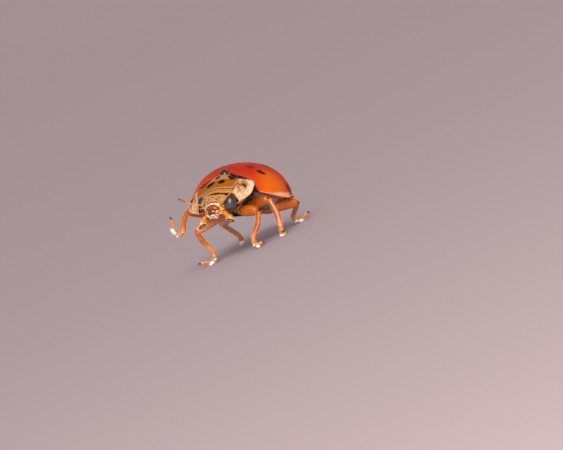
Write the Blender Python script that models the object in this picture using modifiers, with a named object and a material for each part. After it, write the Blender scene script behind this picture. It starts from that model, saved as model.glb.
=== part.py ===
"""A harlequin ladybird (Harmonia axyridis), standing with its right front leg raised.

Metres, +Z up. The beetle faces -Y and its left side is +X. The origin is on the floor, under the
middle of its box. Its body leans to its left and its tail hangs a little, so the three body frames
(body, prothorax, head) are empties that carry the pieces, and the legs reach down from them to
the floor. Sizes are given in millimetres times MM.
"""

import math

import bmesh
import bpy
from mathutils import Matrix, Vector

MM = 0.001
GAP = 0.03 * MM              # clearance between neighbouring plates and limb segments

# The stance: where the floor lies under the body, and how the body is turned over it.
BOX_CENTRE = (-0.128 * MM, -0.665 * MM)    # middle of the whole beetle, seen from the body's origin
BODY_HEIGHT = 2.18 * MM
BODY_PITCH = math.radians(-8.8)          # tail down
BODY_ROLL = math.radians(15.6)           # left side down
PROTHORAX_PLACE = (0.14 * MM, -3.03 * MM, 0.31 * MM)
PROTHORAX_YAW = math.radians(-2.0)
PROTHORAX_ROLL = math.radians(-11.0)     # left side up again, against the body
HEAD_PLACE = (0.05 * MM, -3.57 * MM, 0.17 * MM)
HEAD_YAW = math.radians(-2.0)
HEAD_ROLL = math.radians(-1.5)

# Wing cases: one dome, parted along the back and cut off at the base.
CASE_HALF_WIDTH = 2.60 * MM
CASE_FRONT = 2.57 * MM                   # from the widest place to where the dome would close
CASE_REAR = 2.90 * MM
CASE_HEIGHT = 2.05 * MM
CASE_SHELL = 0.50 * MM
CASE_BASE = -2.08 * MM                   # the straight base, ahead of the widest place
SHOULDER_RISE = 0.90 * MM                # the rim climbs towards the shoulders
SHOULDER_SWEEP = 1.3                     # how late it starts to climb
TAIL_DROP = 0.06 * MM
DOME_FULLNESS = 2.29                     # the dome's profile is (1 - q^fullness)^bluntness
DOME_BLUNTNESS = 0.59

# Trunk, inside the wing cases
BELLY_DEPTH = 0.62 * MM
TRUNK_INSET = CASE_SHELL + 0.06 * MM
WAIST = -0.20 * MM                       # where the abdomen meets the thorax

# Pronotum, the neck shield. Its curves are polynomials, in millimetres, of the way from its base
# at 0 to its front margin at 1.
SHIELD_SHELL = 0.30 * MM
SHIELD_HALF_WIDTH = (1.50, 1.63, -2.00)
SHIELD_MIDDLE = (0.99, -1.57)            # how far back the middle line lies
SHIELD_EDGE = (0.72, -1.154)             # how far back the side margins lie
SHIELD_TOP = (1.22, -0.131, -0.58)       # height of the middle line
SHIELD_DROP = 0.80                       # from the middle line down to the side margins
SHIELD_HIND_DIP = 0.25                   # the base sinks a little between middle and corners

# Prosternum, the block under the shield, in millimetres
CHEST_HALF = (1.12, 0.86, 0.62)
CHEST_BACK = 0.18

# Head, in millimetres
HEAD_HALF_WIDTH = 0.92
HEAD_HALF_HEIGHT = 0.58
HEAD_FRONT = 0.50
HEAD_BACK = 0.46
HEAD_TAPER = 0.22                        # it narrows towards the mouth
FACE_FLATNESS = 0.16
FACE_SLOPE = 0.06
EYE_PLACE = (0.84 * MM, -0.10 * MM, 0.03 * MM)
EYE_RADII = (0.31 * MM, 0.31 * MM, 0.42 * MM)
EYE_TURN = math.radians(14.0)
LABRUM_PLACE = (0.0, -0.40 * MM, -0.16 * MM)
LABRUM_RADII = (0.36 * MM, 0.16 * MM, 0.17 * MM)
MOUTH_PLACE = (0.0, -0.26 * MM, -0.50 * MM)
MOUTH_RADII = (0.40 * MM, 0.24 * MM, 0.26 * MM)

# Scutellum, the small triangle between the wing cases' bases
SCUTE_PLACE = (0.0, -1.94 * MM, 1.47 * MM)
SCUTE_TILT = math.radians(23.0)
SCUTE_RADII = (0.20 * MM, 0.17 * MM)     # to its corners, below and above
SCUTE_DEPTH = 0.30 * MM

# Radii along each limb, in millimetres
THIGH_RADII = (0.24, 0.30, 0.30, 0.20)
THIGH_FLATNESS = 0.85
THIGH_BOW = 0.04
SHIN_RADII = (0.20, 0.22, 0.25)
FOOT_RADII = (0.20, 0.24, 0.24, 0.20)
PALP_RADII = (0.14, 0.17, 0.22, 0.24)
FEELER_RADII = (0.21, 0.20, 0.20, 0.22, 0.22)


def new_collection(name):
    """A collection linked to the scene."""
    collection = bpy.data.collections.new(name)
    bpy.context.scene.collection.children.link(collection)
    return collection


def clear_scene():
    """Remove whatever the start-up file holds."""
    for item in list(bpy.data.objects):
        bpy.data.objects.remove(item, do_unlink=True)


clear_scene()
PARTS = new_collection("harlequin_ladybird")
CUTTERS = new_collection("cutters")


def finish(name, colour, roughness, coat=0.0):
    """A Principled material in one plain colour."""
    material = bpy.data.materials.new(name)
    material.use_nodes = True
    shader = material.node_tree.nodes["Principled BSDF"]
    shader.inputs["Base Color"].default_value = (*colour, 1.0)
    shader.inputs["Roughness"].default_value = roughness
    shader.inputs["Metallic"].default_value = 0.0
    shader.inputs["Coat Weight"].default_value = coat
    return material


CASE_RED = finish("wing_case_cuticle", (0.62, 0.09, 0.015), 0.25, 0.5)
SHIELD_CREAM = finish("pronotum_cuticle", (0.72, 0.47, 0.22), 0.32, 0.3)
FACE_CREAM = finish("head_cuticle", (0.66, 0.40, 0.20), 0.35)
EYE_BLACK = finish("eye_facets", (0.02, 0.018, 0.022), 0.15, 1.0)
LEG_ORANGE = finish("leg_cuticle", (0.55, 0.19, 0.04), 0.35)
FOOT_PALE = finish("foot_pads", (0.72, 0.46, 0.25), 0.6)
MOUTH_BROWN = finish("mouthpart_cuticle", (0.42, 0.12, 0.03), 0.3)
BELLY_DARK = finish("belly_cuticle", (0.06, 0.035, 0.03), 0.4)
SCUTE_BLACK = finish("scutellum_cuticle", (0.02, 0.016, 0.016), 0.25)


def frame(name, place, turn, parent=None):
    """An empty that carries one part of the body."""
    empty = bpy.data.objects.new(name, None)
    empty.empty_display_size = 1.0 * MM
    PARTS.objects.link(empty)
    empty.parent = parent
    empty.matrix_local = Matrix.Translation(place) @ turn
    return empty


def turned(pitch=0.0, roll=0.0, yaw=0.0):
    """A turn about the body's long axis, then its cross axis, then the upright."""
    return Matrix.Rotation(yaw, 4, "Z") @ Matrix.Rotation(pitch, 4, "X") @ Matrix.Rotation(roll, 4, "Y")


FLOOR = frame("floor_frame", (-BOX_CENTRE[0], -BOX_CENTRE[1], 0.0), Matrix.Identity(4))
BODY = frame("body_frame", (0.0, 0.0, BODY_HEIGHT), turned(BODY_PITCH, BODY_ROLL), FLOOR)
PROTHORAX = frame("prothorax_frame", PROTHORAX_PLACE, turned(0.0, PROTHORAX_ROLL, PROTHORAX_YAW), BODY)
HEAD = frame("head_frame", HEAD_PLACE, turned(0.0, HEAD_ROLL, HEAD_YAW), BODY)


def add_mesh(name, bm, parent, material=None):
    """Put a bmesh into the scene: as a part where it has a material, else as a cutter."""
    mesh = bpy.data.meshes.new(name)
    bm.to_mesh(mesh)
    bm.free()
    item = bpy.data.objects.new(name, mesh)
    if material is None:
        CUTTERS.objects.link(item)
        item.hide_render = True
        item.display_type = "WIRE"
    else:
        PARTS.objects.link(item)
        mesh.materials.append(material)
        mesh.shade_smooth()
    item.parent = parent
    return item


def cut(item, *cutters):
    """Take the cutters out of an item."""
    for cutter in cutters:
        boolean = item.modifiers.new("less_" + cutter.name, "BOOLEAN")
        boolean.operation = "DIFFERENCE"
        boolean.solver = "EXACT"
        boolean.object = cutter


def sphere(segments, rings):
    """A unit sphere as a bmesh."""
    bm = bmesh.new()
    bmesh.ops.create_uvsphere(bm, u_segments=segments, v_segments=rings, radius=1.0)
    return bm


def shaped_sphere(name, shape, parent, material=None, segments=24, rings=14):
    """A unit sphere whose points a function moves to their places."""
    bm = sphere(segments, rings)
    for vertex in bm.verts:
        vertex.co = shape(vertex.co)
    return add_mesh(name, bm, parent, material)


def ellipsoid(name, place, radii, parent, material=None, segments=12, rings=8, turn=None):
    """An ellipsoid; one with no material is a cutter."""
    turn = turn or Matrix.Identity(4)
    spread = Matrix.Diagonal((*radii, 1.0))
    placing = Matrix.Translation(place) @ turn @ spread
    return shaped_sphere(name, lambda co: placing @ co, parent, material, segments, rings)


def cutter_block(name, place, size):
    """A box about its middle, in the body's frame, that cuts."""
    bm = bmesh.new()
    bmesh.ops.create_cube(bm, size=1.0)
    placing = Matrix.Translation(place) @ Matrix.Diagonal((*size, 1.0))
    bmesh.ops.transform(bm, matrix=placing, verts=bm.verts)
    return add_mesh(name, bm, BODY)


# ---------------------------------------------------------------- limbs

def along(points, t):
    """The point at 0 to 1 along a smooth curve through the points, and its direction."""
    last = len(points) - 1
    place = min(max(t, 0.0), 1.0) * last
    i = min(int(place), last - 1)
    u = place - i
    p1, p2 = points[i], points[i + 1]
    p0 = points[i - 1] if i > 0 else p1 * 2 - p2
    p3 = points[i + 2] if i + 2 <= last else p2 * 2 - p1
    bend = (p2 - p0) * 0.5, (p3 - p1) * 0.5
    a = 2 * u**3 - 3 * u**2 + 1
    b = u**3 - 2 * u**2 + u
    c = -2 * u**3 + 3 * u**2
    d = u**3 - u**2
    point = p1 * a + bend[0] * b + p2 * c + bend[1] * d
    slope = (p1 * (6 * u**2 - 6 * u) + bend[0] * (3 * u**2 - 4 * u + 1)
             + p2 * (6 * u - 6 * u**2) + bend[1] * (3 * u**2 - 2 * u))
    return point, slope.normalized()


def between(values, t):
    """A value read at 0 to 1 along an evenly spaced list."""
    place = min(max(t, 0.0), 1.0) * (len(values) - 1)
    i = min(int(place), len(values) - 2)
    u = place - i
    return values[i] * (1 - u) + values[i + 1] * u


def limb(name, points, radii, parent, material=None, flat=1.0, sides=12, rings=10, grow=0.0,
         bluntness=0.55, floor=None):
    """A round-ended limb segment along a bent spine.

    flat is the thickness across the bend, as a share of the width in it. grow widens the segment
    all round, for a cutter. A floor is the height that the segment is pressed flat against.
    """
    spine = [Vector(p) * MM for p in points]
    first, last = spine[1] - spine[0], spine[-1] - spine[-2]
    side = first.cross(last)
    if side.length < 1e-3 * first.length * last.length:
        side = first.cross(Vector((0.3, 1.0, 0.2)))
    bm = sphere(sides, rings)
    for vertex in bm.verts:
        height = max(-1.0, min(1.0, vertex.co.z))
        t = (1.0 + height) / 2
        ring = math.hypot(vertex.co.x, vertex.co.y)
        point, direction = along(spine, t)
        across = (side - direction * side.dot(direction)).normalized()
        up = across.cross(direction)
        width = 0.0
        if ring > 1e-6:
            width = (between(radii, t) * MM + grow) * ring**bluntness / ring
        tip = direction * (grow * height)
        vertex.co = point + tip + (up * vertex.co.x + across * vertex.co.y * flat) * width
        if floor is not None:
            vertex.co.z = max(vertex.co.z, floor)
    return add_mesh(name, bm, parent, material)


# ---------------------------------------------------------------- wing cases and trunk

def rim_height(y):
    """Height of the wing cases' rim at a place along the body."""
    if y < 0.0:
        return SHOULDER_RISE * min(1.0, -y / CASE_FRONT)**SHOULDER_SWEEP
    return -TAIL_DROP * min(1.0, y / CASE_REAR)


def dome_point(co, inset=0.0):
    """A point of the dome over the back, from a point of the unit half sphere."""
    q = min(1.0, math.hypot(co.x, co.y))
    reach = (CASE_FRONT if co.y < 0.0 else CASE_REAR) - inset
    x = (CASE_HALF_WIDTH - inset) * co.x
    y = reach * co.y
    z = (CASE_HEIGHT - inset) * (1.0 - q**DOME_FULLNESS)**DOME_BLUNTNESS
    return Vector((x, y, z + rim_height(y) * q**3))


def make_wing_cases():
    """The two wing cases, each a half of one domed shell."""
    halves = []
    for name, sign in (("elytron_left", 1.0), ("elytron_right", -1.0)):
        bm = sphere(32, 20)
        everything = bm.verts[:] + bm.edges[:] + bm.faces[:]
        bmesh.ops.bisect_plane(bm, geom=everything, dist=1e-6, plane_co=(0, 0, 0),
                               plane_no=(0, 0, -1), clear_outer=True)
        for vertex in bm.verts:
            vertex.co = dome_point(vertex.co)
        case = add_mesh(name, bm, BODY, CASE_RED)
        shell = case.modifiers.new("shell", "SOLIDIFY")
        shell.thickness = CASE_SHELL
        shell.offset = -1.0
        reach = 6.0 * MM
        other_half = cutter_block(name + "_other_half", (-sign * (reach / 2 - GAP / 2), 0.0, 0.0),
                                  (reach, 2 * reach, 2 * reach))
        base = cutter_block(name + "_base", (0.0, CASE_BASE - reach / 2, 0.0),
                            (2 * reach, reach, 2 * reach))
        cut(case, other_half, base)
        halves.append(case)
    return halves


def trunk_point(co):
    """A point of the trunk: it follows the dome above, and is shallow below."""
    point = dome_point(co, TRUNK_INSET)
    if co.z < 0.0:
        q = min(1.0, math.hypot(co.x, co.y))
        point.z = rim_height(point.y) * q**3 - BELLY_DEPTH * (1.0 - q**2.6)**0.6
    return point


def make_trunk():
    """Thorax and abdomen, parted by a thin cut at the waist."""
    reach = 8.0 * MM
    pieces = {}
    for name, sign in (("thorax", 1.0), ("abdomen", -1.0)):
        piece = shaped_sphere(name, trunk_point, BODY, BELLY_DARK, 26, 14)
        rest = cutter_block(name + "_rest", (0.0, WAIST + sign * (reach - GAP) / 2, 0.0),
                            (reach, reach, reach))
        cut(piece, rest)
        pieces[name] = piece
    return pieces


# ---------------------------------------------------------------- prothorax

def curve(coefficients, f):
    """The value of a polynomial at f."""
    return sum(c * f**power for power, c in enumerate(coefficients))


def shield_point(s, f):
    """A point of the pronotum: s runs -1 to 1 across it, f runs 0 to 1 from base to front."""
    middle, edge = curve(SHIELD_MIDDLE, f), curve(SHIELD_EDGE, f)
    arch = s * math.pi / 2
    x = curve(SHIELD_HALF_WIDTH, f) * math.sin(arch)
    y = middle + (edge - middle) * (1.0 - math.cos(arch))
    hind_dip = SHIELD_HIND_DIP * (1.0 - f)**2 * math.sin(2 * arch)**2
    z = curve(SHIELD_TOP, f) - hind_dip - SHIELD_DROP * (1.0 - math.cos(arch))
    return Vector((x, y, z)) * MM


def make_shield(name, material=None, overshoot=0.0, room=0.0):
    """The pronotum's shell, or with an overshoot and some room its cutter."""
    bm = bmesh.new()
    bmesh.ops.create_grid(bm, x_segments=18, y_segments=7, size=1.0)
    for vertex in bm.verts:
        f = (1.0 - vertex.co.y) / 2
        f = f * (1.0 + 2 * overshoot) - overshoot
        vertex.co = shield_point(vertex.co.x * (1.0 + overshoot), f)
    shield = add_mesh(name, bm, PROTHORAX, material)
    shell = shield.modifiers.new("shell", "SOLIDIFY")
    shell.thickness = SHIELD_SHELL + 2 * room
    shell.offset = -1.0 + 2 * room / shell.thickness
    return shield


def chest_point(co):
    """A point of the prothorax's underside, a rounded block under the shield."""
    return Vector((CHEST_HALF[0] * co.x, CHEST_BACK + CHEST_HALF[1] * co.y, CHEST_HALF[2] * co.z)) * MM


# ---------------------------------------------------------------- head

def head_point(co):
    """A point of the head capsule: a flattened ball with a steep, slightly flat face."""
    width = HEAD_HALF_WIDTH - HEAD_TAPER * min(0.0, co.z)**2
    depth = HEAD_FRONT if co.y < 0.0 else HEAD_BACK
    flat = 1.0 - FACE_FLATNESS * max(0.0, -co.y)**4
    y = depth * co.y * flat - FACE_SLOPE * co.z
    return Vector((width * co.x, y, HEAD_HALF_HEIGHT * co.z)) * MM


def make_eye(name, sign, material=None, room=0.0):
    """A bulging compound eye, or its cutter."""
    place = (sign * EYE_PLACE[0], EYE_PLACE[1], EYE_PLACE[2])
    radii = [r + room for r in EYE_RADII]
    turn = Matrix.Rotation(sign * EYE_TURN, 4, "Y")
    return ellipsoid(name, place, radii, HEAD, material, 14, 10, turn)


# The mouth's palps and the feelers, from root to tip, in millimetres in the head's frame
PALPS = {
    "left": [(0.36, -0.36, -0.45), (0.70, -0.50, -0.42), (0.99, -0.60, -0.55), (1.10, -0.64, -0.84)],
    "right": [(-0.36, -0.30, -0.49), (-0.66, -0.46, -0.62), (-0.80, -0.52, -0.78), (-0.68, -0.56, -1.04)],
}
FEELERS = {
    "left": [(0.53, -0.47, 0.01), (0.84, -0.62, 0.26), (1.12, -0.58, 0.50), (1.30, -0.46, 0.80),
             (1.36, -0.36, 0.95)],
    "right": [(-0.45, -0.44, 0.06), (-0.85, -0.70, 0.14), (-1.20, -0.68, 0.28), (-1.50, -0.62, 0.44),
              (-1.72, -0.58, 0.54)],
}


def with_room(name, place, radii):
    """One of the mouth's pieces, and the cutter that gives it clearance."""
    piece = ellipsoid(name, place, radii, HEAD, MOUTH_BROWN)
    room = ellipsoid(name + "_room", place, [r + GAP for r in radii], HEAD)
    return piece, room


def make_head():
    """The head capsule with its eyes, mouth, palps and feelers; returns what its neighbours clear."""
    capsule = shaped_sphere("head", head_point, HEAD, FACE_CREAM, 20, 12)
    capsule_room = shaped_sphere("head_room", lambda co: head_point(co) + co * GAP, HEAD, None, 20, 12)
    shield_room = make_shield("shield_room", None, 0.04, GAP)
    cut(capsule, shield_room)
    labrum, labrum_room = with_room("labrum", LABRUM_PLACE, LABRUM_RADII)
    mouth, mouth_room = with_room("mouthparts", MOUTH_PLACE, MOUTH_RADII)
    cut(labrum, capsule_room)
    cut(mouth, capsule_room, labrum_room)
    for side, sign in (("left", 1.0), ("right", -1.0)):
        eye = make_eye("eye_" + side, sign, EYE_BLACK)
        eye_room = make_eye("eye_room_" + side, sign, None, GAP)
        cut(capsule, eye_room)
        cut(eye, shield_room)
        palp = limb("palp_" + side, PALPS[side], PALP_RADII, HEAD, MOUTH_BROWN, 0.9, 10, 9)
        cut(palp, capsule_room, mouth_room)
        feeler = limb("antenna_" + side, FEELERS[side], FEELER_RADII, HEAD, LEG_ORANGE, 1.0, 8, 12,
                      bluntness=0.4)
        cut(feeler, capsule_room, eye_room)
    return capsule_room, shield_room


# ---------------------------------------------------------------- legs

# Each leg: the hip, knee, ankle and toe in millimetres from the floor under the body's origin.
LEGS = {
    "front_left": {
        "hip": (0.70, -2.46, 2.24), "knee": (1.70, -2.74, 1.74),
        "shin": (1.46, -3.03, 1.22), "ankle": (1.10, -3.28, 0.66),
        "foot": [(1.02, -3.30, 0.28), (1.20, -3.18, 0.16), (1.52, -2.98, 0.21)],
    },
    "middle_left": {
        "hip": (0.62, -1.40, 1.92), "knee": (2.06, -1.56, 2.02),
        "shin": (2.24, -1.72, 1.20), "ankle": (2.13, -1.92, 0.46),
        "foot": [(2.16, -2.06, 0.24), (2.22, -2.32, 0.16), (2.26, -2.60, 0.22)],
    },
    "hind_left": {
        "hip": (0.86, -0.28, 1.34), "knee": (2.52, 0.66, 1.03),
        "shin": (2.02, 1.20, 0.78), "ankle": (1.46, 1.66, 0.46),
        "foot": [(1.54, 1.86, 0.23), (1.84, 2.08, 0.16), (2.16, 2.30, 0.22)],
    },
    "front_right": {
        "hip": (-0.42, -2.62, 2.34), "knee": (-1.88, -2.60, 3.04),
        "shin": (-2.12, -2.96, 2.68), "ankle": (-2.31, -3.36, 2.14),
        "foot": [(-2.46, -3.43, 2.17), (-2.60, -3.48, 2.54), (-2.53, -3.45, 3.06)],
    },
    "middle_right": {
        "hip": (-0.56, -1.08, 2.26), "knee": (-2.04, -2.24, 1.90),
        "shin": (-1.98, -2.02, 1.20), "ankle": (-1.78, -1.74, 0.62),
        "foot": [(-1.90, -1.78, 0.26), (-2.24, -1.94, 0.16), (-2.66, -2.14, 0.21)],
    },
    "hind_right": {
        "hip": (-0.86, -0.18, 1.80), "knee": (-2.10, 1.26, 1.54),
        "shin": (-2.02, 1.90, 1.04), "ankle": (-1.90, 2.44, 0.56),
        "foot": [(-2.00, 2.60, 0.24), (-2.12, 2.84, 0.16), (-2.22, 3.12, 0.22)],
    },
}


def spines(leg):
    """The three spines of a leg: thigh, shin and foot."""
    hip, knee, shin, ankle = (Vector(leg[key]) for key in ("hip", "knee", "shin", "ankle"))
    bow = Vector((0.0, 0.0, THIGH_BOW))
    thigh = [hip, hip.lerp(knee, 0.5) + bow, knee]
    lower = [knee, shin, ankle]
    foot = [ankle] + [Vector(p) for p in leg["foot"]]
    return thigh, lower, foot


def make_leg(name, leg, body_parts):
    """Thigh, shin and foot of one leg, each clearing the one it hangs from."""
    thigh, lower, foot = spines(leg)
    limb("leg_" + name + "_thigh", thigh, THIGH_RADII, FLOOR, LEG_ORANGE, THIGH_FLATNESS)
    thigh_room = limb(name + "_thigh_room", thigh, THIGH_RADII, FLOOR, None, THIGH_FLATNESS, grow=GAP)
    shin = limb("leg_" + name + "_shin", lower, SHIN_RADII, FLOOR, LEG_ORANGE, 1.0, 10, 8)
    shin_room = limb(name + "_shin_room", lower, SHIN_RADII, FLOOR, None, 1.0, 10, 8, grow=GAP)
    tarsus = limb("leg_" + name + "_foot", foot, FOOT_RADII, FLOOR, FOOT_PALE, 1.0, 10, 10, floor=0.0)
    cut(shin, thigh_room)
    cut(tarsus, shin_room)
    for part in body_parts:
        cut(part, thigh_room)


# ---------------------------------------------------------------- the whole beetle

def make_scutellum():
    """The small triangular plate between the wing cases' bases, and its cutter."""
    low, high = SCUTE_RADII
    placing = Matrix.Translation(SCUTE_PLACE) @ Matrix.Rotation(SCUTE_TILT, 4, "X")
    plates = []
    for name, material, room in (("scutellum", SCUTE_BLACK, 0.0), ("scutellum_room", None, GAP)):
        bm = bmesh.new()
        bmesh.ops.create_cone(bm, cap_ends=True, segments=3, radius1=low + 2 * room,
                              radius2=high + 2 * room, depth=SCUTE_DEPTH + 2 * room)
        bmesh.ops.transform(bm, matrix=placing, verts=bm.verts)
        plates.append(add_mesh(name, bm, BODY, material))
    return plates


def main():
    """Build every part."""
    cases = make_wing_cases()
    trunk = make_trunk()
    make_shield("pronotum", SHIELD_CREAM)
    head_room, shield_room = make_head()
    chest = shaped_sphere("prosternum", chest_point, PROTHORAX, BELLY_DARK, 18, 10)
    cut(chest, shield_room, head_room)
    _, scute_room = make_scutellum()
    for case in cases:
        cut(case, scute_room)
    roots = {"front": [chest], "middle": [trunk["thorax"]], "hind": [trunk["thorax"], trunk["abdomen"]]}
    for name, leg in LEGS.items():
        make_leg(name, leg, roots[name.split("_")[0]])


main()
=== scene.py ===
"""The looks of a harlequin ladybird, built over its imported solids.

Lengths in the classes are millimetres, as an entomologist measures a beetle; `Sculptor.publish`
turns them to metres. Every plate is shaped in its own local frame (body, neck shield, head or
floor), with +X to the beetle's left, -Y forwards and +Z up, and `Stance` sets these frames over
the floor exactly as the solids stand.
"""

from __future__ import annotations

import logging
import math
from dataclasses import dataclass, field
from enum import Enum
from functools import cache
from typing import Any, Sequence

import bpy
import numpy as np
from mathutils import Matrix, Vector

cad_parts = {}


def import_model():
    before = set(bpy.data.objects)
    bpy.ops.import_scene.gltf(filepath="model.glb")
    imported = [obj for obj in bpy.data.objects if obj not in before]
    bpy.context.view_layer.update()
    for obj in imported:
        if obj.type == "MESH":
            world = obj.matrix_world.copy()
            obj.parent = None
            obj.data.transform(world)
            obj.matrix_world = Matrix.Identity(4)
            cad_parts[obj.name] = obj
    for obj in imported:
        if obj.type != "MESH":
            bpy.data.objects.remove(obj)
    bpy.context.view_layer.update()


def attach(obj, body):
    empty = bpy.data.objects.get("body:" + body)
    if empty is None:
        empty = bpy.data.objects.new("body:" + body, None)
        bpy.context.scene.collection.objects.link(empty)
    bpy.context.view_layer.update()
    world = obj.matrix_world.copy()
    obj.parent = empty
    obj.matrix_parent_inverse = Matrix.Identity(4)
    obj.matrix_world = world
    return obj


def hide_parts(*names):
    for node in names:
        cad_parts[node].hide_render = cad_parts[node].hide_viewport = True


MM = 0.001
LOG = logging.getLogger("ladybird")
Points = np.ndarray
Fields = dict[str, np.ndarray]
Tree = bpy.types.NodeTree
XYZ = tuple[float, float, float]  # a place, a way or half axes
Oval = tuple[tuple[float, float], tuple[float, float], float]    # centre, half axes, turn in degrees


# ---- colour and nodes

def srgb(code: str) -> tuple[float, float, float, float]:
    """Turn an sRGB hex colour to linear light.

    Args:
        code: six hex digits, such as "c8501e".

    Returns:
        Linear red, green, blue and an alpha of 1.
    """
    channels = [int(code[i:i + 2], 16) / 255 for i in (0, 2, 4)]
    linear = [c / 12.92 if c <= 0.04045 else ((c + 0.055) / 1.055)**2.4 for c in channels]
    return (*linear, 1.0)


def add_node(tree: Tree, kind: str, settings: dict[Any, Any] | None = None,
             links: dict[Any, Any] | None = None) -> bpy.types.Node:
    """Add a shader node, set its options and plain inputs, and link the rest.

    Args:
        tree: the node tree that gets the node.
        kind: the node's type name after "ShaderNode".
        settings: option names, or input names and numbers, with their values.
        links: input names or numbers, with the output sockets that feed them.

    Returns:
        The new node.
    """
    node = tree.nodes.new("ShaderNode" + kind)
    for key, value in (settings or {}).items():
        if isinstance(key, int) or key in node.inputs:
            node.inputs[key].default_value = value
        else:
            setattr(node, key, value)
    for key, socket in (links or {}).items():
        tree.links.new(socket, node.inputs[key])
    return node


@dataclass(frozen=True)
class Mark:
    """One patch of pigment, laid where a mesh attribute falls below zero.

    Attributes:
        source: the attribute, a distance in mm that is negative inside the patch.
        colour: the pigment's sRGB hex colour.
        edge: how far the pigment fades across its border, in mm.
        wander: how far its border wanders, in mm.
        strength: how fully it covers what is below.
    """

    source: str
    colour: str
    edge: float = 0.03
    wander: float = 0.02
    strength: float = 1.0


@dataclass(frozen=True)
class Cuticle:
    """Beetle cuticle: hardened chitin under a thin wax, smooth and lacquer-like over fine pits.

    Chitin's refractive index is about 1.56. The wax gives a clear, tight highlight over a body
    colour that glows a little, because light enters the plate and comes out beside it.

    Attributes:
        name: the material's name.
        ground: the sRGB hex colour of the unmarked plate.
        marks: the pigment over it, first to last.
        roughness: of the plate below the wax.
        wax: how much of the clear wax shows.
        wax_blur: its roughness.
        gloss: strength of the plate's own reflection; 0.5 is that of bare chitin.
        glow: how much light scatters below the surface.
        mottle: how strongly the ground's tone varies.
        mottle_size: width of that variation, in mm.
        pit_spacing: distance between pits, in mm, or 0 for none. Real ones are about 0.06 apart
            on the wing cases, 0.04 on the shield and face, and 0.02 as eye facets. All are
            drawn coarser, so that they show.
        pit_depth: depth of the pits, in mm.
        pit_stain: the pits' own pigment and where it lies, or nothing where they aren't stained.
        wrinkle: depth of the fine, long wrinkles, in mm.
    """

    name: str
    ground: str
    marks: tuple[Mark, ...] = ()
    roughness: float = 0.32
    wax: float = 0.5
    wax_blur: float = 0.12
    gloss: float = 0.3
    glow: float = 0.15
    mottle: float = 0.12
    mottle_size: float = 0.25
    pit_spacing: float = 0.0
    pit_depth: float = 0.008
    pit_stain: Mark | None = None
    wrinkle: float = 0.0

    IOR = 1.56
    WAX_IOR = 1.45
    SCATTER = (0.25, 0.09, 0.04)       # mm, how far red, green and blue travel in the plate
    WANDER_SIZE = 0.12                 # mm, between the waves of a patch's border
    WRINKLE_SIZE = 0.05                # mm, between wrinkles; real ones are about 0.005
    PIT_RIM, PIT_FLOOR = 0.36, 0.12    # a pit's radius at its rim and floor, in spacings
    RELIEF = 0.9                       # how strongly pits and wrinkles bend the light

    @cache
    def material(self) -> bpy.types.Material:
        """Make the Blender material, once for all pieces that wear it.

        Returns:
            The material, ready to be put on a mesh.
        """
        material = bpy.data.materials.new(self.name)
        material.use_nodes = True
        tree = material.node_tree
        shader = tree.nodes["Principled BSDF"]
        place = add_node(tree, "TexCoord").outputs["Object"]
        colour = self._tone(tree, place)
        wander = add_node(tree, "TexNoise", {"Scale": 1 / (self.WANDER_SIZE * MM), "Detail": 3.0},
                          {"Vector": place}).outputs["Fac"]
        layers = [(mark, self._cover(tree, mark, wander)) for mark in self.marks]
        height, pits = self._relief(tree, place)
        if self.pit_stain:
            where = self._cover(tree, self.pit_stain, wander)
            stained = add_node(tree, "Math", {"operation": "MULTIPLY"}, {0: pits, 1: where})
            layers.append((self.pit_stain, stained.outputs[0]))
        for mark, cover in layers:
            colour = add_node(tree, "Mix", {"data_type": "RGBA", 7: srgb(mark.colour)},
                              {"Factor": cover, 6: colour}).outputs[2]
        tree.links.new(colour, shader.inputs["Base Color"])
        if height is not None:
            bump = add_node(tree, "Bump", {"Distance": MM, "Strength": self.RELIEF},
                            {"Height": height})
            tree.links.new(bump.outputs["Normal"], shader.inputs["Normal"])
        fixed = {"Roughness": self.roughness, "IOR": self.IOR, "Metallic": 0.0,
                 "Specular IOR Level": self.gloss, "Coat Weight": self.wax, "Coat Roughness": self.wax_blur,
                 "Coat IOR": self.WAX_IOR, "Subsurface Weight": self.glow,
                 "Subsurface Radius": self.SCATTER, "Subsurface Scale": MM}
        for name, value in fixed.items():
            shader.inputs[name].default_value = value
        return material

    def _tone(self, tree: Tree, place: Any) -> Any:
        """Return the ground colour with its cloudy change of tone.

        Args:
            tree: the material's node tree.
            place: the socket that gives places on the plate.

        Returns:
            The colour's socket.
        """
        cloud = add_node(tree, "TexNoise",
                         {"Scale": 1 / (self.mottle_size * MM), "Detail": 4.0, "Roughness": 0.6},
                         {"Vector": place})
        span = add_node(tree, "MapRange",
                        {"From Min": 0.25, "From Max": 0.75, "To Min": 1.0 - self.mottle,
                         "To Max": 1.0 + self.mottle},
                        {"Value": cloud.outputs["Fac"]})
        tone = add_node(tree, "VectorMath", {"operation": "SCALE", 0: srgb(self.ground)[:3]},
                        {"Scale": span.outputs["Result"]})
        return tone.outputs["Vector"]

    def _cover(self, tree: Tree, mark: Mark, wander: Any) -> Any:
        """Return how fully a patch of pigment covers the plate, from 0 to its strength.

        Args:
            tree: the material's node tree.
            mark: the patch.
            wander: the socket of the noise that moves its border.

        Returns:
            The cover's socket.
        """
        distance = add_node(tree, "Attribute", {"attribute_name": mark.source}).outputs["Fac"]
        shifted = add_node(tree, "Math", {"operation": "MULTIPLY_ADD", 1: mark.wander * 4},
                           {0: wander, 2: distance})
        border = mark.wander * 2
        span = add_node(tree, "MapRange",
                        {"interpolation_type": "SMOOTHSTEP", "From Min": border + mark.edge / 2,
                         "From Max": border - mark.edge / 2, "To Min": 0.0, "To Max": mark.strength},
                        {"Value": shifted.outputs[0]})
        return span.outputs["Result"]

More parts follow.
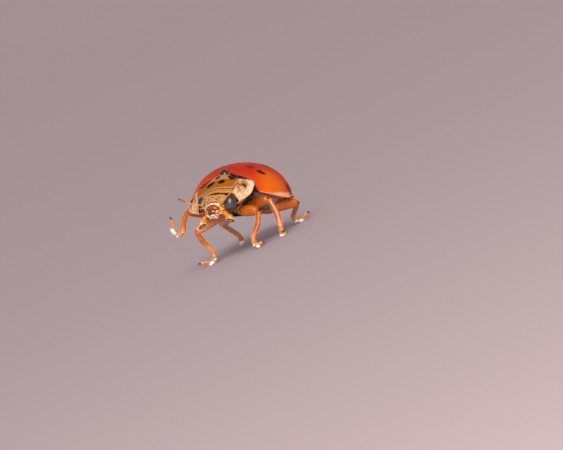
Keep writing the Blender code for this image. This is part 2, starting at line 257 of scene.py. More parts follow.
    def _relief(self, tree: Tree, place: Any) -> tuple[Any, Any]:
        """Return the relief of pits and wrinkles.

        Args:
            tree: the material's node tree.
            place: the socket that gives places on the plate.

        Returns:
            Sockets for the height in mm and for how deep in a pit a place is, each None if there is none.
        """
        height, pits = None, None
        if self.pit_spacing:
            cells = add_node(tree, "TexVoronoi", {"Scale": 1 / (self.pit_spacing * MM)},
                             {"Vector": place})
            pit = add_node(tree, "MapRange",
                           {"interpolation_type": "SMOOTHSTEP", "From Min": self.PIT_RIM,
                            "From Max": self.PIT_FLOOR},
                           {"Value": cells.outputs["Distance"]})
            pits = pit.outputs["Result"]
            height = add_node(tree, "Math", {"operation": "MULTIPLY", 1: -self.pit_depth},
                              {0: pits}).outputs[0]
        if self.wrinkle:
            grain = add_node(tree, "TexNoise",
                             {"Scale": 1 / (self.WRINKLE_SIZE * MM), "Detail": 4.0}, {"Vector": place})
            fine = add_node(tree, "Math", {"operation": "MULTIPLY", 1: self.wrinkle},
                            {0: grain.outputs["Fac"]}).outputs[0]
            height = fine if height is None else add_node(
                tree, "Math", {"operation": "ADD"}, {0: height, 1: fine}).outputs[0]
        return height, pits


# Clear, straw-coloured chitin in thin threads: pale and softly shiny.
HAIR = Cuticle("straw_hair", "e8c8a0", roughness=0.45, wax=0.2, glow=0.0, mottle=0.1)


# ---- stance

class Side(Enum):
    """A side of the beetle; its value is the sign of X there."""

    LEFT = 1.0
    RIGHT = -1.0

    @property
    def word(self) -> str:
        """The side's name in node names."""
        return self.name.lower()


@dataclass(frozen=True)
class Stance:
    """How the beetle's four local frames stand over the floor, the same as in the solids."""

    under_body: tuple[float, float] = (0.128, 0.665)     # the floor point under the body's origin
    body_height: float = 2.18
    body_pitch: float = -8.8
    body_roll: float = 15.6
    prothorax_place: XYZ = (0.14, -3.03, 0.31)
    prothorax_roll: float = -11.0
    head_place: XYZ = (0.05, -3.57, 0.17)
    head_roll: float = -1.5
    neck_yaw: float = -2.0

    @staticmethod
    def turned(pitch: float = 0.0, roll: float = 0.0, yaw: float = 0.0) -> Matrix:
        """Return a turn about the long axis, then the cross axis, then the upright.

        Args:
            pitch: degrees about X.
            roll: degrees about Y.
            yaw: degrees about Z.

        Returns:
            The matrix.
        """
        turns = ((yaw, "Z"), (pitch, "X"), (roll, "Y"))
        matrix = Matrix.Identity(4)
        for angle, axis in turns:
            matrix = matrix @ Matrix.Rotation(math.radians(angle), 4, axis)
        return matrix

    @property
    def floor(self) -> Matrix:
        """The frame on the floor under the body."""
        return Matrix.Translation((*self.under_body, 0.0))

    @property
    def body(self) -> Matrix:
        """The frame of the wing cases and the trunk."""
        lift = Matrix.Translation((0.0, 0.0, self.body_height))
        return self.floor @ lift @ self.turned(self.body_pitch, self.body_roll)

    @property
    def prothorax(self) -> Matrix:
        """The frame of the neck shield."""
        turn = self.turned(0.0, self.prothorax_roll, self.neck_yaw)
        return self.body @ Matrix.Translation(self.prothorax_place) @ turn

    @property
    def head(self) -> Matrix:
        """The frame of the head."""
        turn = self.turned(0.0, self.head_roll, self.neck_yaw)
        return self.body @ Matrix.Translation(self.head_place) @ turn


# ---- mesh making

def smooth_step(value: Any, low: float, high: float) -> Any:
    """Rise smoothly from 0 at low to 1 at high."""
    t = np.clip((value - low) / (high - low), 0.0, 1.0)
    return t * t * (3.0 - 2.0 * t)


def soft_max(a: Any, b: Any, width: float) -> Any:
    """The larger of two values, with the corner between them rounded."""
    return 0.5 * (a + b + np.sqrt((a - b)**2 + width * width))


def unit(ways: Any) -> Points:
    """Directions brought to length 1, one alone or a row for each."""
    return ways / np.maximum(1e-12, np.linalg.norm(ways, axis=-1, keepdims=True))


def sampled(line: Points, run: Points, wanted: Points) -> Points:
    """Points of a line at wanted places of its run."""
    return np.stack([np.interp(wanted, run, line[:, k]) for k in range(3)], axis=1)


def ellipse_distance(u: Any, v: Any, centre: Sequence[float], radii: Sequence[float],
                     turn: float = 0.0) -> Any:
    """Distance to the edge of a turned ellipse.

    Args:
        u: first coordinate of the points, in mm.
        v: second coordinate.
        centre: the ellipse's middle.
        radii: its half axes.
        turn: its turn in degrees, anticlockwise.

    Returns:
        About the distance in mm, negative inside.
    """
    c, s = math.cos(math.radians(turn)), math.sin(math.radians(turn))
    du, dv = u - centre[0], v - centre[1]
    along, across = (c * du + s * dv) / radii[0], (c * dv - s * du) / radii[1]
    return (np.hypot(along, across) - 1.0) * min(radii)


def nearest(*distances: Any) -> Any:
    """The least of several distances."""
    return np.minimum.reduce([np.asarray(d, float) for d in distances])


def nearest_oval(u: Any, v: Any, ovals: Sequence[Oval]) -> Any:
    """Distance to the nearest of several turned ellipses, negative inside one."""
    return nearest(*(ellipse_distance(u, v, *oval) for oval in ovals))


def curve(coefficients: Sequence[float], f: Any) -> Any:
    """The value of a polynomial, lowest power first."""
    return sum(c * f**power for power, c in enumerate(coefficients))


@dataclass(frozen=True)
class Swell:
    """A smooth, round-topped rise.

    Attributes:
        height: of its top.
        centre: where that top is.
        reach: how far it spreads in each direction.
    """

    height: float
    centre: tuple[float, float]
    reach: tuple[float, float]

    def at(self, u: Any, v: Any) -> Any:
        """Return how high the rise is at places."""
        away = ((u - self.centre[0]) / self.reach[0])**2 + ((v - self.centre[1]) / self.reach[1])**2
        return self.height * np.exp(-away)


@dataclass
class Shape:
    """Points in mm, with the faces between them and fields of numbers on them."""

    points: Points
    faces: list[tuple[int, ...]]
    fields: Fields = field(default_factory=dict)

    def joined(self, other: "Shape") -> "Shape":
        """Join this shape and another.

        Args:
            other: the shape that is added.

        Returns:
            Both as one, with the fields that both have.
        """
        shift = len(self.points)
        faces = self.faces + [tuple(i + shift for i in face) for face in other.faces]
        shared = {name: np.concatenate([values, other.fields[name]])
                  for name, values in self.fields.items() if name in other.fields}
        return Shape(np.vstack([self.points, other.points]), faces, shared)

    def moved(self, matrix: Matrix) -> "Shape":
        """Return the shape under a matrix."""
        m = np.array(matrix)
        return Shape(self.points @ m[:3, :3].T + m[:3, 3], self.faces, self.fields)


def join_all(shapes: Sequence[Shape]) -> Shape:
    """Join several shapes.

    Args:
        shapes: one or more.

    Returns:
        All as one, with the fields that all have and "part", which numbers them.
    """
    whole = shapes[0]
    for shape in shapes[1:]:
        whole = whole.joined(shape)
    whole.fields["part"] = np.repeat(np.arange(len(shapes)), [len(shape.points) for shape in shapes])
    return whole


def grid(points: Points, fields: Fields | None = None, closed: bool = False) -> Shape:
    """A sheet of faces over a grid of points.

    Args:
        points: an array of rows by columns by 3.
        fields: values on the points, as arrays of rows by columns.
        closed: whether the last column joins the first.

    Returns:
        The sheet, its faces to the left of a walk along a row with the rows rising behind.
    """
    rows, columns = points.shape[:2]
    index = np.arange(rows * columns).reshape(rows, columns)
    ahead = np.roll(index, -1, axis=1)
    if not closed:
        index, ahead = index[:, :-1], ahead[:, :-1]
    faces = np.stack([index[:-1], ahead[:-1], ahead[1:], index[1:]], axis=-1).reshape(-1, 4)
    flat = {name: np.asarray(values, float).reshape(-1) for name, values in (fields or {}).items()}
    return Shape(points.reshape(-1, 3), [tuple(face) for face in faces.tolist()], flat)


def through(keys: Sequence[Any], steps: int) -> Points:
    """Smooth values through a few given ones.

    Args:
        keys: the values, each a row of numbers.
        steps: how many to return for each gap between two of them.

    Returns:
        An array with a row for each value.
    """
    p = np.array(keys, float)
    p = p.reshape(len(p), -1)
    last = len(p) - 1
    ends = np.vstack([2 * p[0] - p[1], p, 2 * p[-1] - p[-2]])
    t = np.linspace(0.0, last, steps * last + 1)
    i = np.minimum(t.astype(int), last - 1)
    u = (t - i)[:, None]
    p0, p1, p2, p3 = ends[i], ends[i + 1], ends[i + 2], ends[i + 3]
    return 0.5 * (2 * p1 + (p2 - p0) * u + (2 * p0 - 5 * p1 + 4 * p2 - p3) * u**2
                  + (3 * p1 - p0 - 3 * p2 + p3) * u**3)


def along_curve(points: Sequence[Sequence[float]], count: int) -> Points:
    """Points at even steps of a smooth curve through a few given ones.

    Args:
        points: the points that the curve passes, in mm.
        count: how many to return.

    Returns:
        An array of count by 3.
    """
    fine = through(points, 40)
    run = np.concatenate([[0.0], np.cumsum(np.linalg.norm(np.diff(fine, axis=0), axis=1))])
    return sampled(fine, run, np.linspace(0.0, run[-1], count))


def outward(shape: Shape) -> Shape:
    """Turn the faces of a closed shape outwards.

    Args:
        shape: the shape, which is changed.

    Returns:
        The same shape.
    """
    corners = np.array([face[:3] + face[-1:] for face in shape.faces])
    a, b, c, d = np.moveaxis(shape.points[corners] - shape.points.mean(axis=0), 1, 0)
    if np.sum(a * (np.cross(b, c) + np.cross(c, d))) < 0.0:
        shape.faces = [face[::-1] for face in shape.faces]
    return shape


def closed_rings(rings: Points, fields: Fields, tail: Points, tip: Points) -> Shape:
    """A closed skin over rings of points, with a fan of faces at each end.

    Args:
        rings: an array of rings by points round each by 3.
        fields: values on those points.
        tail: the point that closes the first ring.
        tip: the point that closes the last ring.

    Returns:
        The closed shape.
    """
    shape = grid(rings, fields, closed=True)
    shape.faces = [face[::-1] for face in shape.faces]
    count, sides = len(shape.points), rings.shape[1]
    shape.points = np.vstack([shape.points, tail, tip])
    for name, values in shape.fields.items():
        shape.fields[name] = np.append(values, (values[0], values[-1]))
    top = count - sides
    for i in range(sides):
        j = (i + 1) % sides
        shape.faces.append((count, i, j))
        shape.faces.append((count + 1, top + j, top + i))
    return outward(shape)


def loft(sections: Sequence[tuple[Any, Any, Any]], sides: int = 36, steps: int = 12) -> Shape:
    """A closed body through oval sections.

    Args:
        sections: each one's middle and its two half axes, in mm.
        sides: points round the body.
        steps: rings for each gap between two sections.

    Returns:
        The body, with fields for the way along it and round it.
    """
    smooth = through(sections, steps).reshape(-1, 3, 3)
    middle, first, second = smooth[:, 0], smooth[:, 1], smooth[:, 2]
    angle = np.linspace(0.0, 2 * math.pi, sides, endpoint=False)
    rings = (middle[:, None] + np.cos(angle)[None, :, None] * first[:, None]
             + np.sin(angle)[None, :, None] * second[:, None])
    t = np.linspace(0.0, 1.0, len(rings))[:, None]
    return closed_rings(rings, {"along": t + 0 * angle, "round": angle + 0 * t}, middle[0], middle[-1])


@dataclass
class Limb:
    """A closed, round-ended body drawn along a bent spine.

    Attributes:
        spine: a few points that the spine passes, in mm.
        widths: half-widths in the plane of the bend, evenly spread along it.
        depths: half-widths across that plane, or nothing for a round section.
        normal: a direction that the depth is measured along, or nothing for the bend's own.
        bluntness: 1 gives ball ends, and less gives blunter ones.
        squareness: 2 gives an oval section, and more a squarer one.
        sides: points round the section.
        rings: sections along the spine.
    """

    spine: Sequence[Sequence[float]]
    widths: Sequence[float]
    depths: Sequence[float] | None = None
    normal: Sequence[float] | None = None
    bluntness: float = 1.0
    squareness: float = 2.0
    sides: int = 24
    rings: int = 36

    def axes(self) -> tuple[Points, Points, Points, Points]:
        """Work out how the limb lies.

        Returns:
            Shares of the way along it, closer at its ends, and the spine's point, width axis and depth
            axis at each.
        """
        line = along_curve(self.spine, 4 * self.rings)
        shares = (1.0 - np.cos(np.linspace(0.0, math.pi, self.rings + 1))) / 2
        run = np.linspace(0.0, 1.0, len(line))
        ahead = unit(sampled(np.gradient(line, axis=0), run, shares))
        first, last = line[len(line) // 3] - line[0], line[-1] - line[-1 - len(line) // 3]
        depth = np.array(self.normal if self.normal is not None else np.cross(first, last), float)
        if np.linalg.norm(depth) < 1e-6:
            depth = np.cross(first, (0.3, 1.0, 0.2))
        depth = unit(depth - ahead * (ahead @ depth)[:, None])
        return shares, sampled(line, run, shares), np.cross(depth, ahead), depth

    def shape(self) -> Shape:
        """Shape the limb.

        Returns:
            A closed shape, with fields for the way along it and round it.
        """
        t, place, wide, deep = self.axes()
        length = np.linalg.norm(np.diff(along_curve(self.spine, 40), axis=0), axis=1).sum()
        caps = [max(1e-4, self.bluntness * r) for r in (self.widths[0], self.widths[-1])]
        end = np.ones_like(t)
        for run, cap in ((t * length, caps[0]), ((1.0 - t) * length, caps[1])):
            end = end * np.sqrt(1.0 - (1.0 - np.minimum(1.0, run / cap))**2)
        depths = self.depths if self.depths is not None else self.widths
        width, depth = (np.interp(t, np.linspace(0.0, 1.0, len(sizes)), sizes) * end
                        for sizes in (self.widths, depths))
        angle = np.linspace(0.0, 2 * math.pi, self.sides, endpoint=False)
        power = 2.0 / self.squareness
        c = np.sign(np.cos(angle)) * np.abs(np.cos(angle))**power
        s = np.sign(np.sin(angle)) * np.abs(np.sin(angle))**power
        body = (place[1:-1, None] + wide[1:-1, None] * (width[1:-1, None] * c)[..., None]
                + deep[1:-1, None] * (depth[1:-1, None] * s)[..., None])
        fields = {"along": t[1:-1, None] + 0 * c, "round": angle + 0 * t[1:-1, None]}
        return closed_rings(body, fields, place[0], place[-1])


def ball(centre: Sequence[float], radii: Sequence[float], turn: Matrix | None = None, segments: int = 32,
         rings: int = 20) -> Shape:
    """A closed ellipsoid.

    Args:
        centre: its middle, in mm.
        radii: its half axes.
        turn: how it is turned about its middle.
        segments: points round it.
        rings: points from pole to pole.

    Returns:
        The ellipsoid.
    """
    lat = np.linspace(0.0, math.pi, rings + 1)[1:-1]
    lon = np.linspace(0.0, 2 * math.pi, segments, endpoint=False)
    unit = np.stack([np.sin(lat)[:, None] * np.cos(lon), np.sin(lat)[:, None] * np.sin(lon),
                     np.cos(lat)[:, None] + 0 * lon], axis=-1)
    shape = closed_rings(unit, {}, np.array((0.0, 0.0, 1.0)), np.array((0.0, 0.0, -1.0)))
    shape.points = shape.points * np.array(radii)
    return shape.moved(Matrix.Translation(centre) @ (turn or Matrix.Identity(4)))


def even_ball(cuts: int) -> Shape:
    """A closed unit ball whose faces are all about one size.

    Args:
        cuts: faces along each side of its six patches.

    Returns:
        The ball.
    """
    steps = np.tan(np.linspace(-math.pi / 4, math.pi / 4, cuts + 1))
    a, b = np.meshgrid(steps, steps)
    one = np.ones_like(a)
    patches = [(a, b, one), (b, a, -one), (one, a, b), (-one, b, a), (b, one, a), (a, -one, b)]
    whole = join_all([grid(unit(np.stack(patch, axis=-1))) for patch in patches])
    keys = np.round(whole.points, 6)
    _, first, same = np.unique(keys, axis=0, return_index=True, return_inverse=True)
    same, points = same.reshape(-1), whole.points[first]
    unwrap = {"along": (points[:, 1] + 1.0) / 2, "round": np.arctan2(points[:, 2], points[:, 0]) + math.pi}
    return Shape(points, [tuple(int(same[i]) for i in face) for face in whole.faces], unwrap)


@dataclass(frozen=True)
class Bristles:
    """Short tapered hairs set over a skin.

    Attributes:
        count: how many.
        length: in mm.
        thickness: radius at the root, in mm. Real ones are about 0.003; they are drawn at
            least twice as thick, so that they show.
        lean: 0 stands them upright on the skin, and 1 lays them along the lean direction.
        seed: picks their places.
    """

    count: int
    length: float
    thickness: float = 0.007
    lean: float = 0.55
    seed: int = 1
    strip: tuple[int, int] = (0, 1)      # which strip of the unwrap they take, and out of how many

    def over(self, skin: Shape, towards: Sequence[float], keep: Points | None = None) -> Shape:
        """Grow the hairs.

        Args:
            skin: the closed skin that they stand on.
            towards: the direction that they lean to.
            keep: a value on each point of the skin, above 0 where hairs may stand.

        Returns:
            The hairs, with the place of each on the skin's own unwrap.
        """
        random = np.random.default_rng(self.seed)
        corners = np.array([face[:3] for face in skin.faces]
                           + [(face[0], face[2], face[3]) for face in skin.faces if len(face) == 4])
        a, b, c = (skin.points[corners[:, k]] for k in range(3))
        normal = np.cross(b - a, c - a)
        area = np.linalg.norm(normal, axis=1)
        if keep is not None:
            area = area * (keep[corners[:, 0]] > 0.0)
        chosen = random.choice(len(corners), self.count, p=area / area.sum())
        u, v = random.random((2, self.count))
        u, v = (np.where(u + v > 1.0, 1.0 - w, w)[:, None] for w in (u, v))
        root = a[chosen] + (b - a)[chosen] * u + (c - a)[chosen] * v
        out = unit(normal[chosen])
        lean = unit(towards) + random.normal(0.0, 0.18, (self.count, 3))
        length = self.length * random.uniform(0.7, 1.15, self.count)[:, None]
        side = unit(np.cross(out, lean))
        hairs, places = [], []
        along, turn_round, part = (skin.fields.get(name, np.zeros(len(skin.points)))[corners[chosen, 0]]
                                   for name in ("along", "round", "part"))
        lane = (part + turn_round / 7.0) / (part.max() + 1.0)
        where = np.stack([0.01 + 0.98 * along, (self.strip[0] + 0.02 + 0.96 * lane) / self.strip[1]], axis=1)
        for step, share in enumerate((0.0, 0.35, 0.7)):
            bend = out * (1.0 - self.lean * share) + lean * self.lean * (0.4 + 0.6 * share)
            middle = root + bend * length * share - out * 0.01 * (step == 0)
            thick = self.thickness * (1.0 - 0.8 * share)
            other = unit(np.cross(bend, side))
            for turn in (0.0, 2 * math.pi / 3, 4 * math.pi / 3):
                hairs.append(middle + (side * math.cos(turn) + other * math.sin(turn)) * thick)
                places.append(where + 0.0015 * np.array((math.cos(turn), math.sin(turn))) * (1.0 - share))
        hairs.append(root + (out * (1.0 - self.lean) + lean * self.lean) * length)
        places.append(where)
        faces = [(ring + k, ring + (k + 1) % 3, ring + 3 + (k + 1) % 3, ring + 3 + k)
                 for ring in (0, 3) for k in range(3)]
        faces += [(6 + k, 6 + (k + 1) % 3, 9) for k in range(3)] + [(2, 1, 0)]
        each = len(hairs)
        points = np.stack(hairs, axis=1).reshape(-1, 3)
        spots = np.stack(places, axis=1).reshape(-1, 2)
        every = [tuple(i + each * n for i in face) for n in range(self.count) for face in faces]
        return Shape(points, every, {"bake_u": spots[:, 0], "bake_v": spots[:, 1]})


def add_object(name: str, data: Any) -> bpy.types.Object:
    """Put something in the scene.

    Args:
        name: the object's.
        data: a mesh, a lamp or a camera.

    Returns:
        The object.
    """
    thing = bpy.data.objects.new(name, data)
    bpy.context.scene.collection.objects.link(thing)
    return thing


@dataclass
class Sculptor:
    """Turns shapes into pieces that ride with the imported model."""

    stance: Stance
    made: list[str] = field(default_factory=list)

    def publish(self, name: str, shape: Shape, frame: Matrix, finish: Cuticle,
                nodes: Sequence[str] = (), wall: float = 0.0) -> bpy.types.Object:
        """Make a shape a piece of the model.

        Args:
            name: the piece's name.
            shape: its points in mm in a local frame, and its faces.
            frame: that local frame.
            finish: its finish.
            nodes: the solids that it stands for.
            wall: thickness in mm that an open sheet gets on its inner side.

        Returns:
            The piece.
        """
        placed = shape.moved(frame)
        mesh = bpy.data.meshes.new(name)
        mesh.from_pydata((placed.points * MM).tolist(), [], placed.faces)
        for key, values in placed.fields.items():
            mesh.attributes.new(key, "FLOAT", "POINT").data.foreach_set("value", values.astype(np.float32))
        if "bake_u" in placed.fields:
            corners = np.empty(len(mesh.loops), dtype=np.int32)
            mesh.loops.foreach_get("vertex_index", corners)
            spots = np.stack([placed.fields["bake_u"], placed.fields["bake_v"]], axis=1)[corners]
            mesh.uv_layers.new(name="OFBake").data.foreach_set("uv", spots.astype(np.float32).ravel())
        mesh.materials.append(finish.material())
        mesh.shade_smooth()
        mesh.update()
        piece = add_object(name, mesh)
        if wall:
            shell = piece.modifiers.new("wall", "SOLIDIFY")
            shell.thickness = wall * MM
            shell.offset = -1.0
        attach(piece, "root")
        if nodes:
            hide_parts(*nodes)
        self.made.append(name)
        LOG.info("%s: %d points", name, len(placed.points))
        return piece


# ---- wing cases

@dataclass
class WingCases:
    """The two elytra: one dome, parted along the back, with a flared rim and a turned-in edge."""

    half_width: float = 2.6
    front: float = 2.57          # from the widest place to where the dome would close
    rear: float = 2.9
    height: float = 2.05
    base: float = -2.08          # the straight base behind the neck shield
    painted_shoulder_light_rise: float = 0.9
    painted_shoulder_light_sweep: float = 1.3
    tail_drop: float = 0.06
    flank_lift: float = 0.16     # how far the rim bows up at the flank
    flank: tuple[float, float] = (0.6, 0.9)      # where that is, and over how far
    lip_softness: float = 0.09   # how gently the dome runs out into the rim
    droop: float = 0.045         # how far the flank hangs below the plain dome
    fullness: float = 2.29
    bluntness: float = 0.59
    seam: float = 0.012          # half the gap between the two cases
    flare: float = 0.024         # share of the half-width that is flat rim
    flare_rise: float = 0.06     # height of the rim's root over its edge
    bead: float = 0.026          # radius of the rolled edge
    turn_in: float = 0.4         # width of the inflexed edge at the shoulder
    tail_turn_in: float = 0.14
    base_wall: float = 0.45      # depth of the wall that runs down from the base
    hinge_span: tuple[float, float] = (0.26, 1.46)
    hinge_radius: float = 0.052
    knob_rise: float = 0.024
    knobs: int = 5
    right_hinge_drop: float = 0.07
    # The dark base band is partly the case's black border and partly painted shade under the shield's edge.
    right_border_and_shade_loss: float = 0.13        # how much narrower the right case's dark base band is
    profile_steps: int = 1500
    columns: int = 200
    rows: int = 120
    callus: Swell = Swell(0.05, (1.62, -1.52), (0.3, 0.3))         # the shoulder's low knob
    tail_fold: Swell = Swell(0.035, (0.5, 2.3), (0.5, 0.1))        # the fold across the tail end

    # Spots on one wing case, across and along from the widest place.
    DARK_SPOTS = (
        ((1.56, -0.9), (0.21, 0.15), 25.0),
        ((1.3, 0.34), (0.21, 0.18), 10.0),
        ((0.5, 0.4), (0.17, 0.19), 0.0),
        ((0.92, 1.34), (0.2, 0.16), -15.0),
        ((1.72, 1.24), (0.15, 0.15), 0.0),
        ((0.62, 2.14), (0.15, 0.11), -20.0),
    )
    FAINT_SPOTS = (
        ((0.96, -0.8), (0.22, 0.15), 0.0),
        ((2.44, 0.36), (0.13, 0.26), 0.0),
    )

    def rim(self, y: Points) -> Points:
        """Work out the height of the rim.

        Args:
            y: places along the body.

        Returns:
            The heights there.
        """
        rise = self.painted_shoulder_light_rise * np.clip(-y / self.front, 0.0, 1.0)**self.painted_shoulder_light_sweep
        lift = self.flank_lift * np.exp(-((y - self.flank[0]) / self.flank[1])**2)
        return rise + lift - self.tail_drop * np.clip(y / self.rear, 0.0, 1.0)

    def profile(self) -> tuple[Points, Points, Points]:
        """Work out the dome's profile.

        Returns:
            Shares of the way out, the heights there, and the run along the profile.
        """
        q = 1.0 - (1.0 - np.linspace(0.0, 1.0, self.profile_steps))**1.6
        crown = 1.0 - self.flare
        dome = self.height * (1.0 - np.clip(q / crown, 0.0, 1.0)**self.fullness)**self.bluntness
        lip = self.flare_rise * np.minimum(1.0, (1.0 - q) / self.flare)
        z = soft_max(dome, lip, self.lip_softness) - self.droop * smooth_step(q, 0.7, 1.0)
        run = np.concatenate([[0.0], np.cumsum(np.hypot(np.diff(q) * self.half_width, np.diff(z)))])
        return q, z, run

    def surface(self) -> Shape:
        """Shape the left case's outer skin.

        Returns:
            The skin, rolled over its rim and base, in the body's frame.
        """
        q_line, z_line, run = self.profile()
        angle = np.linspace(-math.pi / 2, math.pi / 2, self.columns)
        out_x, out_y = np.cos(angle), np.sin(angle)
        base_reach = np.where(out_y < -1e-6, self.base / (self.front * np.minimum(out_y, -1e-6)), 9.0)
        reach = -soft_max(-np.minimum(base_reach, 3.0), -1.0, 0.02)
        reach *= 1.0 - self.bead / self.half_width
        based = smooth_step(1.0 - base_reach, -0.03, 0.02)
        end_run = np.interp(reach, q_line, run)
        q = np.interp(np.linspace(0.0, 1.0, self.rows)[:, None] * end_run, run, q_line)
        tuck = 0.75 * smooth_step(out_y, 0.1, 0.4) * np.maximum(0.0, q - 1.0 + self.flare)
        x, y = self.half_width * (q - tuck) * out_x, (q - tuck) * out_y
        y = y * np.where(out_y < 0.0, self.front, self.rear)
        z = np.interp(q, q_line, z_line) + self.rim(y) * q**3
        z += self.callus.at(x, y) + self.tail_fold.at(x, y)
        skin = np.stack([np.maximum(x, self.seam), y, z], axis=-1)
        edge = self._edge(skin[-1], out_x, out_y, based)
        whole = np.concatenate([skin, edge])
        share_out = np.concatenate([q, np.ones((len(edge), self.columns))])
        return grid(whole, self._fields(whole, share_out, based))

    def _edge(self, start: Points, out_x: Points, out_y: Points, based: Points) -> Points:
        """Roll the skin over the rim and turn it in, or run it down from the base.

        Args:
            start: the skin's last row.
            out_x: how far each column runs to the side, from 0 to 1.
            out_y: how far it runs back, from -1 to 1.
            based: 1 where a column ends at the base, and 0 where it ends at the rim.

        Returns:
            The further rows.
        """
        outward = unit(np.stack([out_x / self.half_width, out_y / self.front, 0 * out_x], axis=-1))
        forward = np.array([0.0, -1.0, 0.0])
        outward = outward * (1.0 - based)[:, None] + forward * based[:, None]
        roll = np.linspace(math.pi / 2, -math.pi / 2, 9)[1:]
        narrowing = smooth_step(out_y, 1.0, -0.6)
        rows = []
        for turn in roll:
            out, down = self.bead * math.cos(turn), self.bead * (1.0 - math.sin(turn))
            rows.append(start + outward * out - np.array([0.0, 0.0, down]))
        for share in (0.12, 0.3, 0.5, 0.75, 1.0):
            width = share * (self.turn_in * narrowing + self.tail_turn_in * (1.0 - narrowing))
            dish = 0.05 * math.sin(share * math.pi)
            under = outward * -width[:, None] - np.outer(2 * self.bead - dish + 0 * width, (0, 0, 1))
            fall = self.base_wall * share * smooth_step(start[:, 0], 2.0, 1.2)
            wall = outward * -0.03 * share - np.outer(2 * self.bead + fall, (0, 0, 1))
            rows.append(start + under * (1.0 - based)[:, None] + wall * based[:, None])
        edge = np.array(rows)
        edge[..., 0] = np.maximum(edge[..., 0], self.seam)
        return edge

    def _fields(self, points: Points, q: Points, based: Points) -> Fields:
        """Work out what the case's pigment, painted light and painted shade read.

        Args:
            points: the skin.
            q: shares of the way out to the rim.
            based: as for the edge.

        Returns:
            The fields.
        """
        x, y, z = points[..., 0], points[..., 1], points[..., 2]
        dark, faint = (nearest_oval(x, y, spots) for spots in (self.DARK_SPOTS, self.FAINT_SPOTS))
        from_rim = (1.0 - q) * self.half_width + 2.0 * based
        # Height over the rim: where it is low, the dome is painted a paler orange as painted light.
        low = z - self.rim(y)
        hidden = 2.0 * (q >= 1.0)
        # Painted light: a paler orange patch over the shoulder.
        painted_shoulder_light = np.hypot(x - 2.3, (y + 0.9) * 0.85) - 0.72
        band = np.hypot(from_rim, np.maximum(0.0, low)) - 0.04 - 0.2 * smooth_step(y, -1.5, -0.5)
        by_scutellum = 80.0 * (x < 0.3) * (x - 0.3)**2
        # The base field marks the dark band along the base: partly black border, partly painted shade under
        # the shield.
        return {"spots": dark + hidden, "faint": faint + hidden, "rim": band, "low": low - 0.9,
                "underside": 1.0 - hidden, "base": y - self.base - 0.21 + by_scutellum,
                "seam": x - 0.05 + hidden, "painted_shoulder_light": painted_shoulder_light}

    def build(self, sculptor: Sculptor) -> None:
        """Make both wing cases.

        Args:
            sculptor: turns the shapes into pieces.
        """
        # Red chitin under thin wax, dimpled all over: satin. The paler orange low down and over the shoulder
        # is painted light, as if lit from inside there; the dark band at the base is partly black border
        # and partly painted shade under the shield's edge.
        finish = Cuticle(
            "waxed_wing_case_cuticle", "b02402", roughness=0.42, wax=0.04, gloss=0.08, glow=0.2, mottle=0.1,
            mottle_size=0.5, pit_spacing=0.085, pit_depth=0.01,
            marks=(Mark("low", "d04406", 1.1, 0.1, 0.85), Mark("painted_shoulder_light", "e26c12", 0.9, 0.1, 0.75),
                   Mark("rim", "f8b488", 0.16, 0.03, 0.9), Mark("seam", "8c2006", 0.05, 0.0, 0.25),
                   Mark("faint", "500a04", 0.16, 0.04, 0.85), Mark("spots", "1a0604", 0.1, 0.03, 0.96),
                   Mark("underside", "d87a40", 0.1, 0.0, 0.9), Mark("base", "1c0605", 0.05, 0.02, 0.95)),
        )
        left = self.surface()
        # Dark chitin polished by the case's base: small, sharp highlights.
        hinge = Cuticle("glassy_hinge_cuticle", "1e0806", roughness=0.2, wax=0.9, glow=0.0, mottle=0.4,
                        mottle_size=0.15)
        x = np.linspace(*self.hinge_span, 12)
        y = self.base + 0.18 + 0.09 * smooth_step(x, 0.6, 0.25)
        q = np.hypot(x / self.half_width, y / self.front)
        q_line, z_line, _ = self.profile()
        z = np.interp(q, q_line, z_line) + self.rim(y) * q**3 - 0.015
        knobs = self.hinge_radius + self.knob_rise * np.sin(np.linspace(0.0, self.knobs, 12) * math.pi)**2
        for side in Side:
            drop = self.right_hinge_drop * (side is Side.RIGHT)
            spine = np.stack([x * side.value, y, z - drop], axis=1)
            sculptor.publish(f"hinge_{side.word}", Limb(spine, knobs, sides=16, rings=90).shape(),
                             sculptor.stance.body, hinge)
            shape = Shape(left.points * (side.value, 1.0, 1.0), left.faces, dict(left.fields))
            if side is Side.RIGHT:
                shape.fields["base"] = shape.fields["base"] + self.right_border_and_shade_loss
            else:
                shape.faces = [face[::-1] for face in shape.faces]
            sculptor.publish(f"elytron_{side.word}_skin", shape, sculptor.stance.body, finish,
                             [f"elytron_{side.word}"], wall=0.025)


# ---- neck shield

